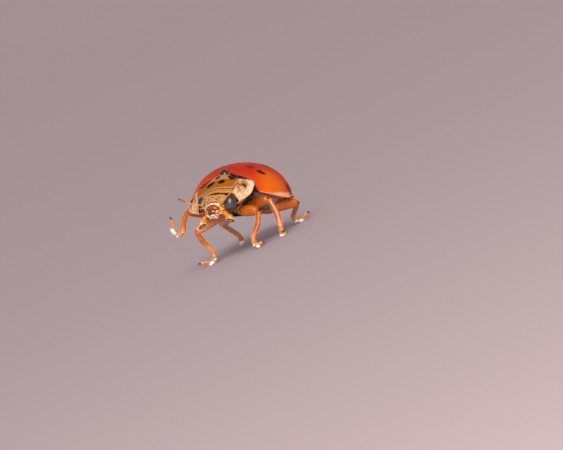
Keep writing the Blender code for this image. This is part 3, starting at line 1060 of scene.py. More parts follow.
@dataclass
class NeckShield:
    """The pronotum: one saddle-shaped plate with thin, pale margins and a broken dark M."""

    half_width: tuple[float, ...] = (1.5, 1.63, -2.0)
    middle: tuple[float, ...] = (0.99, -1.57)
    edge: tuple[float, ...] = (0.72, -1.154)
    top: tuple[float, ...] = (1.22, -0.131, -0.58)
    drop: float = 0.8
    hind_dip: float = 0.34
    uneven: float = 0.09         # how much more of that dip the left side has
    length: float = 1.57
    spread: float = 0.12         # how far the side margins reach out and down at their widest
    columns: int = 240
    rows: int = 110
    crown: Swell = Swell(0.05, (0.0, 0.15), (0.4, 0.25))   # the rise of the plate before its base

    # Dark patches across and along the plate: each alone, and those mirrored on both sides.
    SPOTS = (((0.33, 1.0), (0.19, 0.16), 5.0), ((-0.29, 1.0), (0.24, 0.17), -32.0),
             ((-0.03, 0.52), (0.13, 0.15), 0.0))
    PAIRED_SPOTS = (((0.74, 0.42), (0.27, 0.26), 10.0), ((0.8, 0.66), (0.16, 0.22), -12.0))
    LOBE_MARKS = (((1.5, 1.08), (0.1, 0.075), 10.0), ((1.4, 1.14), (0.045, 0.03), 0.0),
                  ((1.29, 1.16), (0.04, 0.03), 0.0))
    LOBE_CLOUDS = (((1.46, 1.0), (0.24, 0.28), 0.0), ((1.24, 1.18), (0.15, 0.3), 0.0))

    def place(self, s: Points, f: Points) -> Points:
        """Set places of the plain plate.

        Args:
            s: shares across it, from -1 to 1.
            f: shares along it, from its base to its front.

        Returns:
            The points.
        """
        middle, edge = curve(self.middle, f), curve(self.edge, f)
        arch = s * math.pi / 2
        x = curve(self.half_width, f) * np.sin(arch)
        y = middle + (edge - middle) * (1.0 - np.cos(arch))
        dip = (self.hind_dip + self.uneven * np.sign(s)) * (1.0 - f)**2 * np.sin(2 * arch)**2
        z = curve(self.top, f) - dip - self.drop * (1.0 - np.cos(arch))
        return np.stack([x, y, z], axis=-1)

    def margins(self, s: Points, f: Points) -> Points:
        """Set places of the plate with its raised crown and spread sides.

        Args:
            s: shares across it.
            f: shares along it.

        Returns:
            The points.
        """
        skin = self.place(s, f)
        side = np.abs(s)**6 * np.exp(-((f - 0.76) / 0.2)**2)
        skin[..., 0] += self.spread * np.sign(s) * side
        skin[..., 2] -= self.spread * side
        skin[..., 2] += self.crown.at(s, f)
        return skin

    def surface(self) -> Shape:
        """Shape the plate's outer skin.

        Returns:
            The skin with its rolled margins, in the shield's frame.
        """
        s = np.sin(np.linspace(-math.pi / 2, math.pi / 2, self.columns))[None, :]
        front = 1.0 + 0.075 * smooth_step(np.abs(s), 0.68, 0.3)
        base = 0.1 * smooth_step(np.abs(s), 0.15, 0.4) * smooth_step(np.abs(s), 0.98, 0.75)
        f = base + np.linspace(0.0, 1.0, self.rows)[:, None] * (front - base)
        s = s + 0 * f
        skin = self.margins(s * 0.995, f)
        near_side = 1.0 - np.abs(s)
        skin[..., 2] += 0.022 * np.exp(-((near_side - 0.008) / 0.007)**2)
        skin[..., 2] -= 0.03 * smooth_step(f / front, 0.95, 1.0)
        skin[..., 2] -= 0.03 * smooth_step(f - base, 0.06, 0.0)
        return grid(skin, self._fields(skin, s, f, front))

    def _fields(self, skin: Points, s: Points, f: Points, front: Points) -> Fields:
        """Work out what the plate's pigment and its painted front shadow read, in mm across and along it.

        Args:
            skin: the points.
            s: shares across.
            f: shares along.
            front: where the front edge lies, as such a share.

        Returns:
            The fields.
        """
        x = skin[..., 0]
        across, along = np.abs(x), f * self.length
        black = nearest(nearest_oval(x, along, self.SPOTS), nearest_oval(across, along, self.PAIRED_SPOTS))
        border = 1.16 - 0.45 * np.maximum(0.0, f - 0.6)
        from_front = (front - f) * self.length
        beyond_lines = 0.5 * smooth_step(across, 1.0, 1.1)
        broken = 0.022 * (1.0 + np.sin(x * 68.0 + 2.0 * np.sin(x * 9.0)))
        from_dashes = np.abs(from_front - 0.2)
        on_lobe = smooth_step(across, 1.0, 1.12)
        from_side = (1.0 - np.abs(s)) * 1.2 + 0.01
        return {"black": black,
                "lobe_mark": nearest_oval(across, along, self.LOBE_MARKS),
                "lobe_cloud": nearest_oval(across, along, self.LOBE_CLOUDS),
                "ochre": across - border,
                "stained": border - across - 0.1,
                "dashes": from_dashes - 0.048 + broken + beyond_lines,
                "thin_line": np.abs(from_front - 0.118) - 0.014 + 0.3 * broken + beyond_lines,
                "front_band": from_front - 0.105 + 0.065 * on_lobe,
                # Painted shadow: a dark line along the front edge, where the plate overhangs the head.
                "painted_front_shadow": from_front - 0.035 + 0.1 * on_lobe,
                "margin": nearest(from_side - 0.045, along - 0.015),
                "tan": np.maximum(along - 0.78, across - 0.85),
                "haze": from_dashes - 0.09 + beyond_lines}

    def side_wall(self, side: Side) -> Shape:
        """Shape the wall that turns in below one side, down to the breast.

        Args:
            side: which side.

        Returns:
            The wall.
        """
        f = np.linspace(0.02, 1.0, 60)
        shares = np.linspace(0.0, 1.0, 16)
        outer = self.margins(np.full_like(f, side.value * 0.985), f)
        girth = np.sqrt(1.0 - np.clip((outer[:, 1] - 0.18) / 0.86, -0.9, 0.9)**2)
        inner = np.stack([side.value * 0.86 * girth, outer[:, 1], -0.4 * girth], axis=1)
        swelling = np.array((0.06 * side.value, 0.0, -0.07))
        rows = [outer * (1.0 - share) + inner * share + swelling * math.sin(share * math.pi)
                for share in shares]
        fields = {"inward": np.repeat(shares[:, None], len(f), axis=1) - 0.35}
        wall = grid(np.array(rows), fields)
        if side is Side.RIGHT:
            wall.faces = [face[::-1] for face in wall.faces]
        return wall

    def build(self, sculptor: Sculptor) -> None:
        """Make the plate and the turned-under side walls.

        Args:
            sculptor: turns the shapes into pieces.
        """
        # Thin waxed chitin, almost clear at the sides: cream lobes with brown pits, and a dull sheen.
        # A painted shadow darkens its front edge, where it overhangs the head.
        finish = Cuticle(
            "waxed_neck_shield_cuticle", "d4c8b0", roughness=0.42, wax=0.03, gloss=0.06, glow=0.05,
            mottle=0.12, mottle_size=0.3, pit_spacing=0.062, pit_depth=0.01,
            pit_stain=Mark("stained", "7a4a18", 0.3, 0.06),
            marks=(Mark("ochre", "9c5400", 0.1, 0.05), Mark("tan", "ac8654", 0.24, 0.08, 0.85),
                   Mark("haze", "b48e66", 0.05, 0.02, 0.85), Mark("front_band", "c87a1c", 0.04, 0.015, 0.9),
                   Mark("lobe_cloud", "b06810", 0.26, 0.16, 0.95), Mark("lobe_mark", "3e1c06", 0.07, 0.012),
                   Mark("dashes", "1c100a", 0.025, 0.008, 0.95),
                   Mark("thin_line", "4a280c", 0.02, 0.004, 0.85),
                   Mark("margin", "f0a45c", 0.04, 0.01, 0.85), Mark("black", "060404", 0.04, 0.012),
                   Mark("painted_front_shadow", "0e0805", 0.03, 0.01, 0.95)),
        )
        sculptor.publish("pronotum_skin", self.surface(), sculptor.stance.prothorax, finish,
                         ["pronotum"], wall=0.06)
        # The same chitin turned under, thin and unpitted: pale, with light coming through.
        under = Cuticle("waxed_side_wall_cuticle", "e8c8ac", roughness=0.35, wax=0.4, glow=0.3, mottle=0.15,
                        marks=(Mark("inward", "b8682c", 0.5, 0.05, 0.85),))
        for side in Side:
            sculptor.publish(f"pronotum_{side.word}_wall", self.side_wall(side), sculptor.stance.prothorax,
                             under, wall=0.02)


# ---- head

@dataclass(frozen=True)
class Eye:
    """One compound eye."""

    place: XYZ
    radii: XYZ
    lean: float                      # degrees, its top outwards


@dataclass
class Head:
    """The head capsule, with its eyes."""

    half_width: float = 0.92
    half_height: float = 0.58
    front: float = 0.5
    back: float = 0.46
    taper: float = 0.22
    flatness: float = 0.16
    slope: float = 0.06
    brow_height: float = 0.155       # where the frons ends and the clypeus begins
    brow_bend: float = 0.6
    clypeus_half: float = 0.4
    turn: float = -8.0               # degrees that the face is turned to the beetle's right
    cuts: int = 60                   # faces along each side of the ball's six patches

    socket: Swell = Swell(0.05, (0.52, 0.03), (0.075, 0.085))      # the hollow that holds a feeler
    dimple: Swell = Swell(0.012, (0.0, 0.34), (0.1, 0.05))

    # Patches across and up the face: each alone, and those mirrored on both sides.
    SPOTS = (((-0.19, 0.26), (0.1, 0.035), 60.0), ((0.31, 0.28), (0.09, 0.045), -15.0),
             ((0.04, 0.4), (0.07, 0.025), -15.0), ((-0.4, 0.2), (0.08, 0.035), 60.0))
    PAIRED_SPOTS = (((0.46, 0.38), (0.07, 0.06), 0.0),)
    CHEEKS = (((0.48, -0.19), (0.12, 0.09), 35.0), ((0.44, 0.03), (0.05, 0.04), 0.0))
    # Painted shadow in each feeler's socket, across and up the face.
    SOCKET_SHADOWS = (((0.52, 0.03), (0.085, 0.09), 0.0),)

    EYES = {Side.LEFT: Eye((0.885, -0.14, 0.0), (0.335, 0.31, 0.44), 14.0),
            Side.RIGHT: Eye((-0.72, -0.11, 0.06), (0.28, 0.29, 0.4), -14.0)}

    def brow(self, x: Points) -> Points:
        """Return the height of the curved line between frons and clypeus."""
        return self.brow_height - self.brow_bend * (x - 0.12)**2

    def capsule(self) -> Shape:
        """Shape the head capsule.

        Returns:
            An evenly faced ball drawn to the head's form.
        """
        shape = even_ball(self.cuts)
        ux, uy, uz = shape.points.T
        width = self.half_width - self.taper * np.minimum(0.0, uz)**2
        depth = np.where(uy < 0.0, self.front, self.back)
        flat = 1.0 - self.flatness * np.maximum(0.0, -uy)**4
        x, z = width * ux, self.half_height * uz
        y = depth * uy * flat - self.slope * uz
        face = smooth_step(-uy, 0.15, 0.6)
        line, across = self.brow(x), np.abs(x)
        inside = smooth_step(self.clypeus_half - across, 0.0, 0.06)
        clypeus = smooth_step(line - z, -0.01, 0.04) * smooth_step(z, -0.2, -0.1) * inside
        groove = 0.015 * np.exp(-((z - line) / 0.018)**2) * inside
        hollows = self.socket.at(across, z) + self.dimple.at(x, z) + groove
        y = y - face * (0.06 * clypeus - hollows)
        shape.points = np.stack([x, y, z], axis=-1)
        behind = 2.0 * (1.0 - face)
        beside = 2.0 * smooth_step(across, 0.4, 0.44)
        shape.fields |= {
            "brow_line": np.abs(z - line) - 0.03 + beside + behind,
            "clypeus": np.maximum(z - line, across - self.clypeus_half) + behind,
            "cheek": nearest_oval(across, z, self.CHEEKS) + behind,
            # Painted shadow in the feeler sockets.
            "socket": nearest_oval(across, z, self.SOCKET_SHADOWS) + behind,
            # The near-black crown: partly the head's dark back, partly painted shade under the shield's
            # edge.
            "crown": 0.505 - z,
            "frons": line + 0.03 - z + behind,
            "spots": behind + nearest(nearest_oval(x, z, self.SPOTS),
                                      nearest_oval(across, z, self.PAIRED_SPOTS)),
            "underside": z + 0.34 + 0.25 * face,
        }
        return shape

    def build(self, sculptor: Sculptor) -> None:
        """Make the capsule and the eyes.

        Args:
            sculptor: turns the shapes into pieces.
        """
        turn = Matrix.Rotation(math.radians(self.turn), 4, "Z")
        frame = sculptor.stance.head @ Matrix.Translation((0.06, 0.0, 0.0)) @ turn
        # Waxed chitin under coarse, stained pits: a mottled tan whose sheen is broken up. Painted shadow
        # darkens the feeler sockets; the near-black crown is partly the head's dark back and partly painted
        # shade under the shield's edge.
        finish = Cuticle(
            "waxed_face_cuticle", "ac8052", roughness=0.42, wax=0.12, gloss=0.12, glow=0.06, mottle=0.34,
            mottle_size=0.14, pit_spacing=0.055, pit_depth=0.01,
            pit_stain=Mark("frons", "6a3c12", 0.3, 0.06),
            marks=(Mark("clypeus", "dcae78", 0.05, 0.01, 0.95),
                   Mark("brow_line", "8c4606", 0.03, 0.015, 0.95), Mark("spots", "5a3010", 0.05, 0.03, 0.85),
                   Mark("cheek", "e8c060", 0.06, 0.03, 0.9), Mark("socket", "3a1608", 0.04, 0.01, 0.85),
                   Mark("crown", "1a100a", 0.04, 0.02, 0.95), Mark("underside", "8a4a20", 0.15, 0.05, 0.9)),
        )
        skin = self.capsule()
        sculptor.publish("head_skin", skin, frame, finish, ["head"])
        down = Bristles(260, 0.055, 0.005, 0.6, 3).over(skin, (0.0, -0.2, -1.0), -skin.fields["frons"])
        sculptor.publish("head_hairs", down, frame, HAIR)
        # Clear lenses over dark pigment: black glass with a broad, soft highlight.
        facets = Cuticle("glassy_eye_facets", "2c2022", roughness=0.4, wax=0.9, wax_blur=0.3, glow=0.0,
                         mottle=0.35, mottle_size=0.16, pit_spacing=0.036, pit_depth=0.0045,
                         marks=(Mark("sheen", "564850", 0.3, 0.05, 0.8),))
        # Smooth amber chitin under wax: a warm bar that catches the light.
        rim = Cuticle("waxed_eye_rim", "b87838", roughness=0.35, wax=0.3, glow=0.2)
        for side, eye in self.EYES.items():
            turn = Matrix.Rotation(math.radians(eye.lean), 4, "Y")
            shape = ball((0.0, 0.0, 0.0), eye.radii, turn, 72, 48)
            shape.fields["sheen"] = np.abs(shape.points[:, 2] + 0.16) - 0.09
            shape.points = shape.points + eye.place
            sculptor.publish(f"eye_{side.word}_facets", shape, frame, facets,
                             [f"eye_{side.word}"])
            s = side.value
            bar = Limb([(0.46 * s, -0.38, -0.07), (0.6 * s, -0.44, -0.09), (0.74 * s, -0.44, -0.1)],
                       (0.055, 0.045, 0.025), (0.03, 0.03, 0.02), (0.0, -1.0, 0.0), sides=14, rings=16)
            sculptor.publish(f"eye_{side.word}_bar", bar.shape(), frame, rim)


@dataclass(frozen=True)
class PalpPose:
    """One maxillary palp: its first joints' path and its last joint's oval end face."""

    root: tuple[XYZ, ...]
    face: XYZ
    long_axis: XYZ
    outward: XYZ
    half_length: float
    half_width: float

    def end_axes(self) -> tuple[Vector, Vector, Vector]:
        """Work out how the end face lies.

        Returns:
            Its long axis, short axis and outward direction, each of length 1.
        """
        outward = Vector(self.outward).normalized()
        long_axis = Vector(self.long_axis)
        long_axis = (long_axis - outward * long_axis.dot(outward)).normalized()
        return long_axis, outward.cross(long_axis), outward


@dataclass
class Mouth:
    """The labrum, the jaws, the lower lip and the four palps."""

    labrum_place: XYZ = (0.035, -0.5, -0.145)
    labrum_half: XYZ = (0.385, 0.15, 0.175)

    # Paths and half-widths of the glassy folds, whose near-white is partly painted highlight: over the
    # labrum, beside the lower lip and below it.
    FOLDS = (
        (((-0.36, -0.48, -0.13), (-0.26, -0.53, -0.03), (-0.12, -0.575, 0.04), (0.08, -0.595, 0.065),
          (0.27, -0.575, 0.045), (0.42, -0.51, -0.1)), (0.01, 0.015, 0.017, 0.021, 0.021, 0.012)),
        (((-0.29, -0.46, -0.42), (-0.27, -0.5, -0.51), (-0.17, -0.48, -0.61)), (0.014, 0.026, 0.012)),
        (((-0.13, -0.46, -0.58), (-0.08, -0.51, -0.51), (0.02, -0.525, -0.48), (0.1, -0.51, -0.51),
          (0.14, -0.46, -0.59)), (0.014, 0.02, 0.02, 0.02, 0.012)))

    # Middles and half axes of the moist lumps in front of the lower lip's plate and between the jaws.
    LUMPS = (((0.01, -0.43, -0.53), (0.09, 0.06, 0.075)), ((0.09, -0.57, -0.3), (0.075, 0.05, 0.045)),
             ((0.28, -0.54, -0.3), (0.065, 0.05, 0.04)), ((0.19, -0.52, -0.42), (0.045, 0.045, 0.05)))

    # Each lip palp's path, and its joints' first and last points of ten along it and half-width.
    LIP_PALPS = (((0.14, -0.4, -0.56), (0.21, -0.51, -0.63), (0.17, -0.53, -0.75)),
                 ((-0.09, -0.4, -0.56), (-0.13, -0.5, -0.65), (-0.13, -0.52, -0.75)))
    LIP_PALP_JOINTS = ((0, 4, 0.04), (3, 7, 0.045), (6, 9, 0.04))

    # The last palp joint's long and short half axes, as shares of its end face's, at shares of its length.
    PALP_SECTIONS = ((0.0, 0.38, 0.5), (0.12, 0.52, 0.66), (0.45, 0.82, 0.97), (0.78, 0.97, 1.07),
                     (0.95, 1.0, 1.0), (1.0, 0.95, 0.93))
    # The felted end: how far each ring stands out, in mm, and its shares of the same half axes.
    PALP_END = ((-0.02, 0.86, 0.82), (0.006, 0.84, 0.8), (0.012, 0.72, 0.66), (0.004, 0.3, 0.25))

    PALPS = {
        Side.LEFT: PalpPose(((0.4, -0.32, -0.44), (0.52, -0.43, -0.43), (0.66, -0.5, -0.45),
                             (0.82, -0.54, -0.53)), (1.0, -0.6, -0.84), (0.861, 0.393, -0.317),
                            (0.018, -0.651, -0.758), 0.24, 0.18),
        Side.RIGHT: PalpPose(((-0.34, -0.36, -0.48), (-0.4, -0.42, -0.5), (-0.45, -0.47, -0.56),
                              (-0.5, -0.49, -0.64)), (-0.6, -0.6, -0.98), (0.799, 0.384, 0.464),
                             (0.597, -0.402, -0.695), 0.25, 0.185),
    }

    def labrum(self) -> Shape:
        """Shape the labrum.

        Returns:
            A domed plate with a shallow notch in its lower edge.
        """
        shape = even_ball(30)
        x, y, z = shape.points.T
        low = np.maximum(0.0, -z)
        z = z + 0.2 * low * np.exp(-(x / 0.22)**2) - 0.42 * np.abs(x)**2 * (1.0 - low)
        x = np.sign(x) * np.abs(x)**0.85
        points = np.stack([x, y - 0.35 * (1.0 - x * x), z], axis=-1) * self.labrum_half
        points[:, 1] += 0.35 * self.labrum_half[1]
        shape.points = points + self.labrum_place
        shape.fields["lower_edge"] = z + 0.35
        return shape

    def joint_skins(self) -> Shape:
        """Return the glassy skin, its near-white partly a painted highlight, that arches over the labrum,
        and the folds round the lower lip.
        """
        return join_all([Limb(path, widths, sides=14, rings=60).shape() for path, widths in self.FOLDS])

    def jaws(self) -> tuple[Shape, Shape]:
        """Shape the jaws and what lies below them.

        Returns:
            The dark-tipped mandibles, and the pale lobes of the maxillae and lower lip.
        """
        jaws, lobes = [], []
        for side in Side:
            s = side.value
            jaws.append(Limb([(0.36 * s, -0.36, -0.28), (0.27 * s, -0.5, -0.34), (0.14 * s, -0.56, -0.37),
                              (0.02 * s, -0.58, -0.36)], (0.09, 0.1, 0.07, 0.035), (0.06, 0.07, 0.05, 0.03),
                             sides=18, rings=24).shape())
            for x, z, radius in ((0.25, -0.46, 0.085), (0.14, -0.43, 0.055)):
                path = [(x * s, -0.3, z), (x * 0.8 * s, -0.45, z - 0.02), (x * 0.5 * s, -0.54, z)]
                lobes.append(Limb(path, (radius, radius, radius * 0.8, radius * 0.5),
                                  (radius * 0.6, radius * 0.7, radius * 0.6, radius * 0.4),
                                  sides=16, rings=20).shape())
            lobes.append(Limb([(0.3 * s, -0.28, -0.42), (0.36 * s, -0.38, -0.44), (0.34 * s, -0.42, -0.5)],
                              (0.09, 0.1, 0.07), sides=16, rings=18).shape())
        plates = [ball((0.0, -0.29, -0.57), (0.25, 0.17, 0.13))]
        plates += [ball(place, half_axes, None, 24, 16) for place, half_axes in self.LUMPS]
        for plate in plates:
            plate.fields = {"along": np.full(len(plate.points), 0.2)}
        tips, pale = join_all(jaws), join_all(lobes + plates)
        tips.fields = {"tip": 0.62 - tips.fields["along"]}
        pale.fields = {"ends": 0.8 - pale.fields["along"],
                       "middle": np.abs(pale.points[:, 0] - 0.01) - 0.012}
        return tips, pale

    def lip_palps(self) -> Shape:
        """Shape the two small palps of the lower lip.

        Returns:
            Both as one.
        """
        joints = []
        for spine in self.LIP_PALPS:
            path = along_curve(spine, 10)
            for first, last, radius in self.LIP_PALP_JOINTS:
                joint = Limb(path[first:last + 1], (radius * 0.8, radius, radius * 0.9), sides=12, rings=10)
                shape = joint.shape()
                shape.fields["tip"] = shape.points[:, 2] + 0.69
                joints.append(shape)
        return join_all(joints)

    def palp(self, side: Side) -> tuple[Shape, Shape]:
        """Shape a maxillary palp.

        Args:
            side: which one.

        Returns:
            Its joints, and the dark face that ends it.
        """
        pose = self.PALPS[side]
        path = along_curve(pose.root, 12)
        joints = [Limb(path[:6], (0.06, 0.08, 0.09, 0.08), sides=20, rings=18).shape(),
                  Limb(path[5:], (0.08, 0.095, 0.12, 0.13, 0.11), sides=20, rings=18).shape()]
        long_axis, short_axis, outward = pose.end_axes()
        start, end = Vector(pose.root[-1]), Vector(pose.face)
        sections = []
        for share, a, b in self.PALP_SECTIONS:
            middle = start.lerp(end, share) - outward * (0.06 * math.sin(share * math.pi))
            sections.append((middle, long_axis * (pose.half_length * a), short_axis * (pose.half_width * b)))
        last = loft(sections, 40, 8)
        rims = [np.full(len(joint.points), 1.0) for joint in joints] + [0.88 - last.fields["along"]]
        whole = join_all(joints + [last])
        whole.fields["rim"] = np.concatenate(rims)
        face = [(end + outward * rise, long_axis * pose.half_length * a, short_axis * pose.half_width * b)
                for rise, a, b in self.PALP_END]
        pad = loft(face, 40, 6)
        offset = pad.points - np.array(end - short_axis * 0.01)
        # Painted reflection: a paler patch in the middle of the end face.
        pad.fields["middle"] = np.hypot(offset @ np.array(long_axis) / pose.half_length,
                                        offset @ np.array(short_axis) / pose.half_width) - 0.42
        return whole, pad

    def build(self, sculptor: Sculptor) -> None:
        """Make the mouth.

        Args:
            sculptor: turns the shapes into pieces.
        """
        frame = sculptor.stance.head
        # Polished brown chitin: a wet-looking shine.
        brown = Cuticle("waxed_lip_cuticle", "8c4002", roughness=0.24, wax=0.6, gloss=0.15, glow=0.2,
                        mottle=0.3, mottle_size=0.1, pit_spacing=0.05, pit_depth=0.004,
                        marks=(Mark("lower_edge", "6a1e08", 0.6, 0.06, 0.8),))
        # Moist, folded joint skin with hard glints; its almost white colour is partly a painted highlight.
        glassy = Cuticle("joint_skin_with_painted_highlight", "fffaf0", roughness=0.15, wax=0.9, glow=0.4,
                         mottle=0.05)
        # Thick chitin, hardest and darkest where it bites: glossy amber to near black.
        jaw = Cuticle("waxed_jaw_cuticle", "d07a20", roughness=0.22, wax=0.8, glow=0.2, mottle=0.15,
                      marks=(Mark("tip", "300a05", 0.3, 0.0, 0.95),))
        # Soft, moist skin between the plates: pinkish and wrinkled, with wet glints.
        pale = Cuticle("soft_lip_skin", "dcae8c", roughness=0.22, wax=0.8, glow=0.35, mottle=0.3,
                       mottle_size=0.07, wrinkle=0.008,
                       marks=(Mark("ends", "8a2a10", 0.25, 0.04, 0.9),
                              Mark("middle", "7a1c10", 0.02, 0.02, 0.8)))
        # Thin, smooth chitin: clear amber with black tips.
        small = Cuticle("waxed_lip_palp_cuticle", "e0a058", roughness=0.3, wax=0.5, glow=0.2,
                        marks=(Mark("tip", "2a1008", 0.02, 0.0, 0.95),))
        # Smooth orange chitin under wax: glossy, with a pale ring where it ends.
        orange = Cuticle("waxed_palp_cuticle", "e0780c", roughness=0.24, wax=0.8, glow=0.3, mottle=0.15,
                         mottle_size=0.12, marks=(Mark("rim", "f8cf9c", 0.06, 0.01, 0.9),))
        # A felt of sense hairs on dark skin: brown violet, with a paler mauve patch in its middle that is a
        # painted reflection.
        dark = Cuticle("felted_palp_end", "4a1810", roughness=0.25, wax=0.8, glow=0.0, mottle=0.3,
                       mottle_size=0.05, wrinkle=0.004,
                       marks=(Mark("middle", "b09a98", 0.5, 0.0, 0.7),))
        labrum, (tips, lobes) = self.labrum(), self.jaws()
        for name, shape, finish, nodes in (
                ("labrum_plate", labrum, brown, ["labrum"]),
                ("mouth_joint_skins", self.joint_skins(), glassy, []),
                ("mandibles", tips, jaw, []),
                ("lower_lip", lobes, pale, ["mouthparts"]),
                ("lip_palps", self.lip_palps(), small, [])):
            sculptor.publish(name, shape, frame, finish, nodes)
        for side in Side:
            joints, end_face = self.palp(side)
            sculptor.publish(f"palp_{side.word}_joints", joints, frame, orange,
                             [f"palp_{side.word}"])
            sculptor.publish(f"palp_{side.word}_end", end_face, frame, dark)
            fuzz = Bristles(110, 0.06, 0.005, 0.6, 5).over(joints, (0.1 * side.value, -0.2, -1.0))
            sculptor.publish(f"palp_{side.word}_hairs", fuzz, frame, HAIR)
        low = -labrum.fields["lower_edge"]
        fringe = Bristles(60, 0.075, 0.005, 0.75, 9).over(labrum, (0.0, -0.5, -1.0), low)
        sculptor.publish("labrum_fringe", fringe, frame, HAIR)


@dataclass
class Feelers:
    """The antennae: eleven joints each, the last three a flattened club."""

    # Each joint's length as a share of the whole, its radius in mm, and its depth to that radius.
    JOINTS = ((0.125, 0.062, 1.0), (0.075, 0.045, 1.0), (0.105, 0.032, 1.0), (0.075, 0.03, 1.0),
              (0.075, 0.03, 1.0), (0.07, 0.031, 1.0), (0.07, 0.032, 1.0), (0.07, 0.036, 1.0),
              (0.105, 0.042, 0.75), (0.105, 0.048, 0.7), (0.125, 0.044, 0.7))
    PATHS = {
        Side.LEFT: [(0.51, -0.43, 0.01), (0.64, -0.49, 0.1), (0.77, -0.53, 0.21), (1.1, -0.53, 0.48),
                    (1.33, -0.51, 0.67), (1.46, -0.49, 0.88), (1.69, -0.47, 0.99)],
        Side.RIGHT: [(-0.51, -0.32, 0.03), (-0.68, -0.52, 0.1), (-0.9, -0.6, 0.17), (-1.16, -0.62, 0.25),
                     (-1.46, -0.6, 0.39), (-1.79, -0.56, 0.55)],
    }

    def shape(self, side: Side) -> Shape:
        """Shape one antenna.

        Args:
            side: which one.

        Returns:
            Its joints as one.
        """
        path = along_curve(self.PATHS[side], 201)
        joints, start = [], 0.0
        total = sum(length for length, _, _ in self.JOINTS)
        for number, (length, radius, flat) in enumerate(self.JOINTS):
            end = start + length / total
            first, last = int(200 * start), min(200, int(200 * end) + 3)
            widths = (radius * 0.62, radius * 0.85, radius, radius * 0.92)
            joint = Limb(path[first:last + 1:3], widths, tuple(w * flat for w in widths), sides=14, rings=12,
                         normal=(0.2, -1.0, 0.3), bluntness=0.8)
            shape = joint.shape()
            near_end = 0.5 - np.abs(shape.fields["along"] - 0.5)
            shape.fields["club"] = np.full(len(shape.points), 8.0 - number - 0.5)
            shape.fields["joint"] = near_end - 0.1
            joints.append(shape)
            start = end
        return join_all(joints)

    def build(self, sculptor: Sculptor) -> None:
        """Make both antennae.

        Args:
            sculptor: turns the shapes into pieces.
        """
        # Thin amber chitin, ringed dark at each joint: a satin thread that turns brown at its club.
        finish = Cuticle("waxed_feeler_cuticle", "e07c20", roughness=0.35, wax=0.4, glow=0.3, mottle=0.15,
                         mottle_size=0.1, wrinkle=0.003,
                         marks=(Mark("joint", "8a3a10", 0.06, 0.0, 0.8),
                                Mark("club", "6e3022", 1.2, 0.0, 0.85)))
        for side in Side:
            shape, frame = self.shape(side), sculptor.stance.head
            sculptor.publish(f"antenna_{side.word}_joints", shape, frame, finish,
                             [f"antenna_{side.word}"])
            ahead = np.subtract(self.PATHS[side][-1], self.PATHS[side][0])
            fuzz = Bristles(240, 0.035, 0.0035, 0.6, 7).over(shape, ahead)
            sculptor.publish(f"antenna_{side.word}_hairs", fuzz, frame, HAIR)


# ---- legs

@dataclass(frozen=True)
class LegPose:
    """The joints of one leg over the floor under the body, in mm."""

    socket: XYZ                                       # where the hip joint goes up into the breast
    hip: XYZ
    knee: XYZ
    shin: XYZ
    ankle: XYZ
    foot: tuple[XYZ, XYZ, XYZ]                        # where its first, second and claw joints end
    sole: XYZ = (0.0, 0.0, -1.0)
    # Where a leg pales: the shin's own paler end, and painted light on the shaded right middle and hind
    # legs.
    pale_and_painted_light_from: tuple[float, float] = (2.0, 0.8)       # shares of the thigh and the shin where they pale


class Station(Enum):
    """A leg's place along the body."""

    FRONT = "front"
    MIDDLE = "middle"
    HIND = "hind"


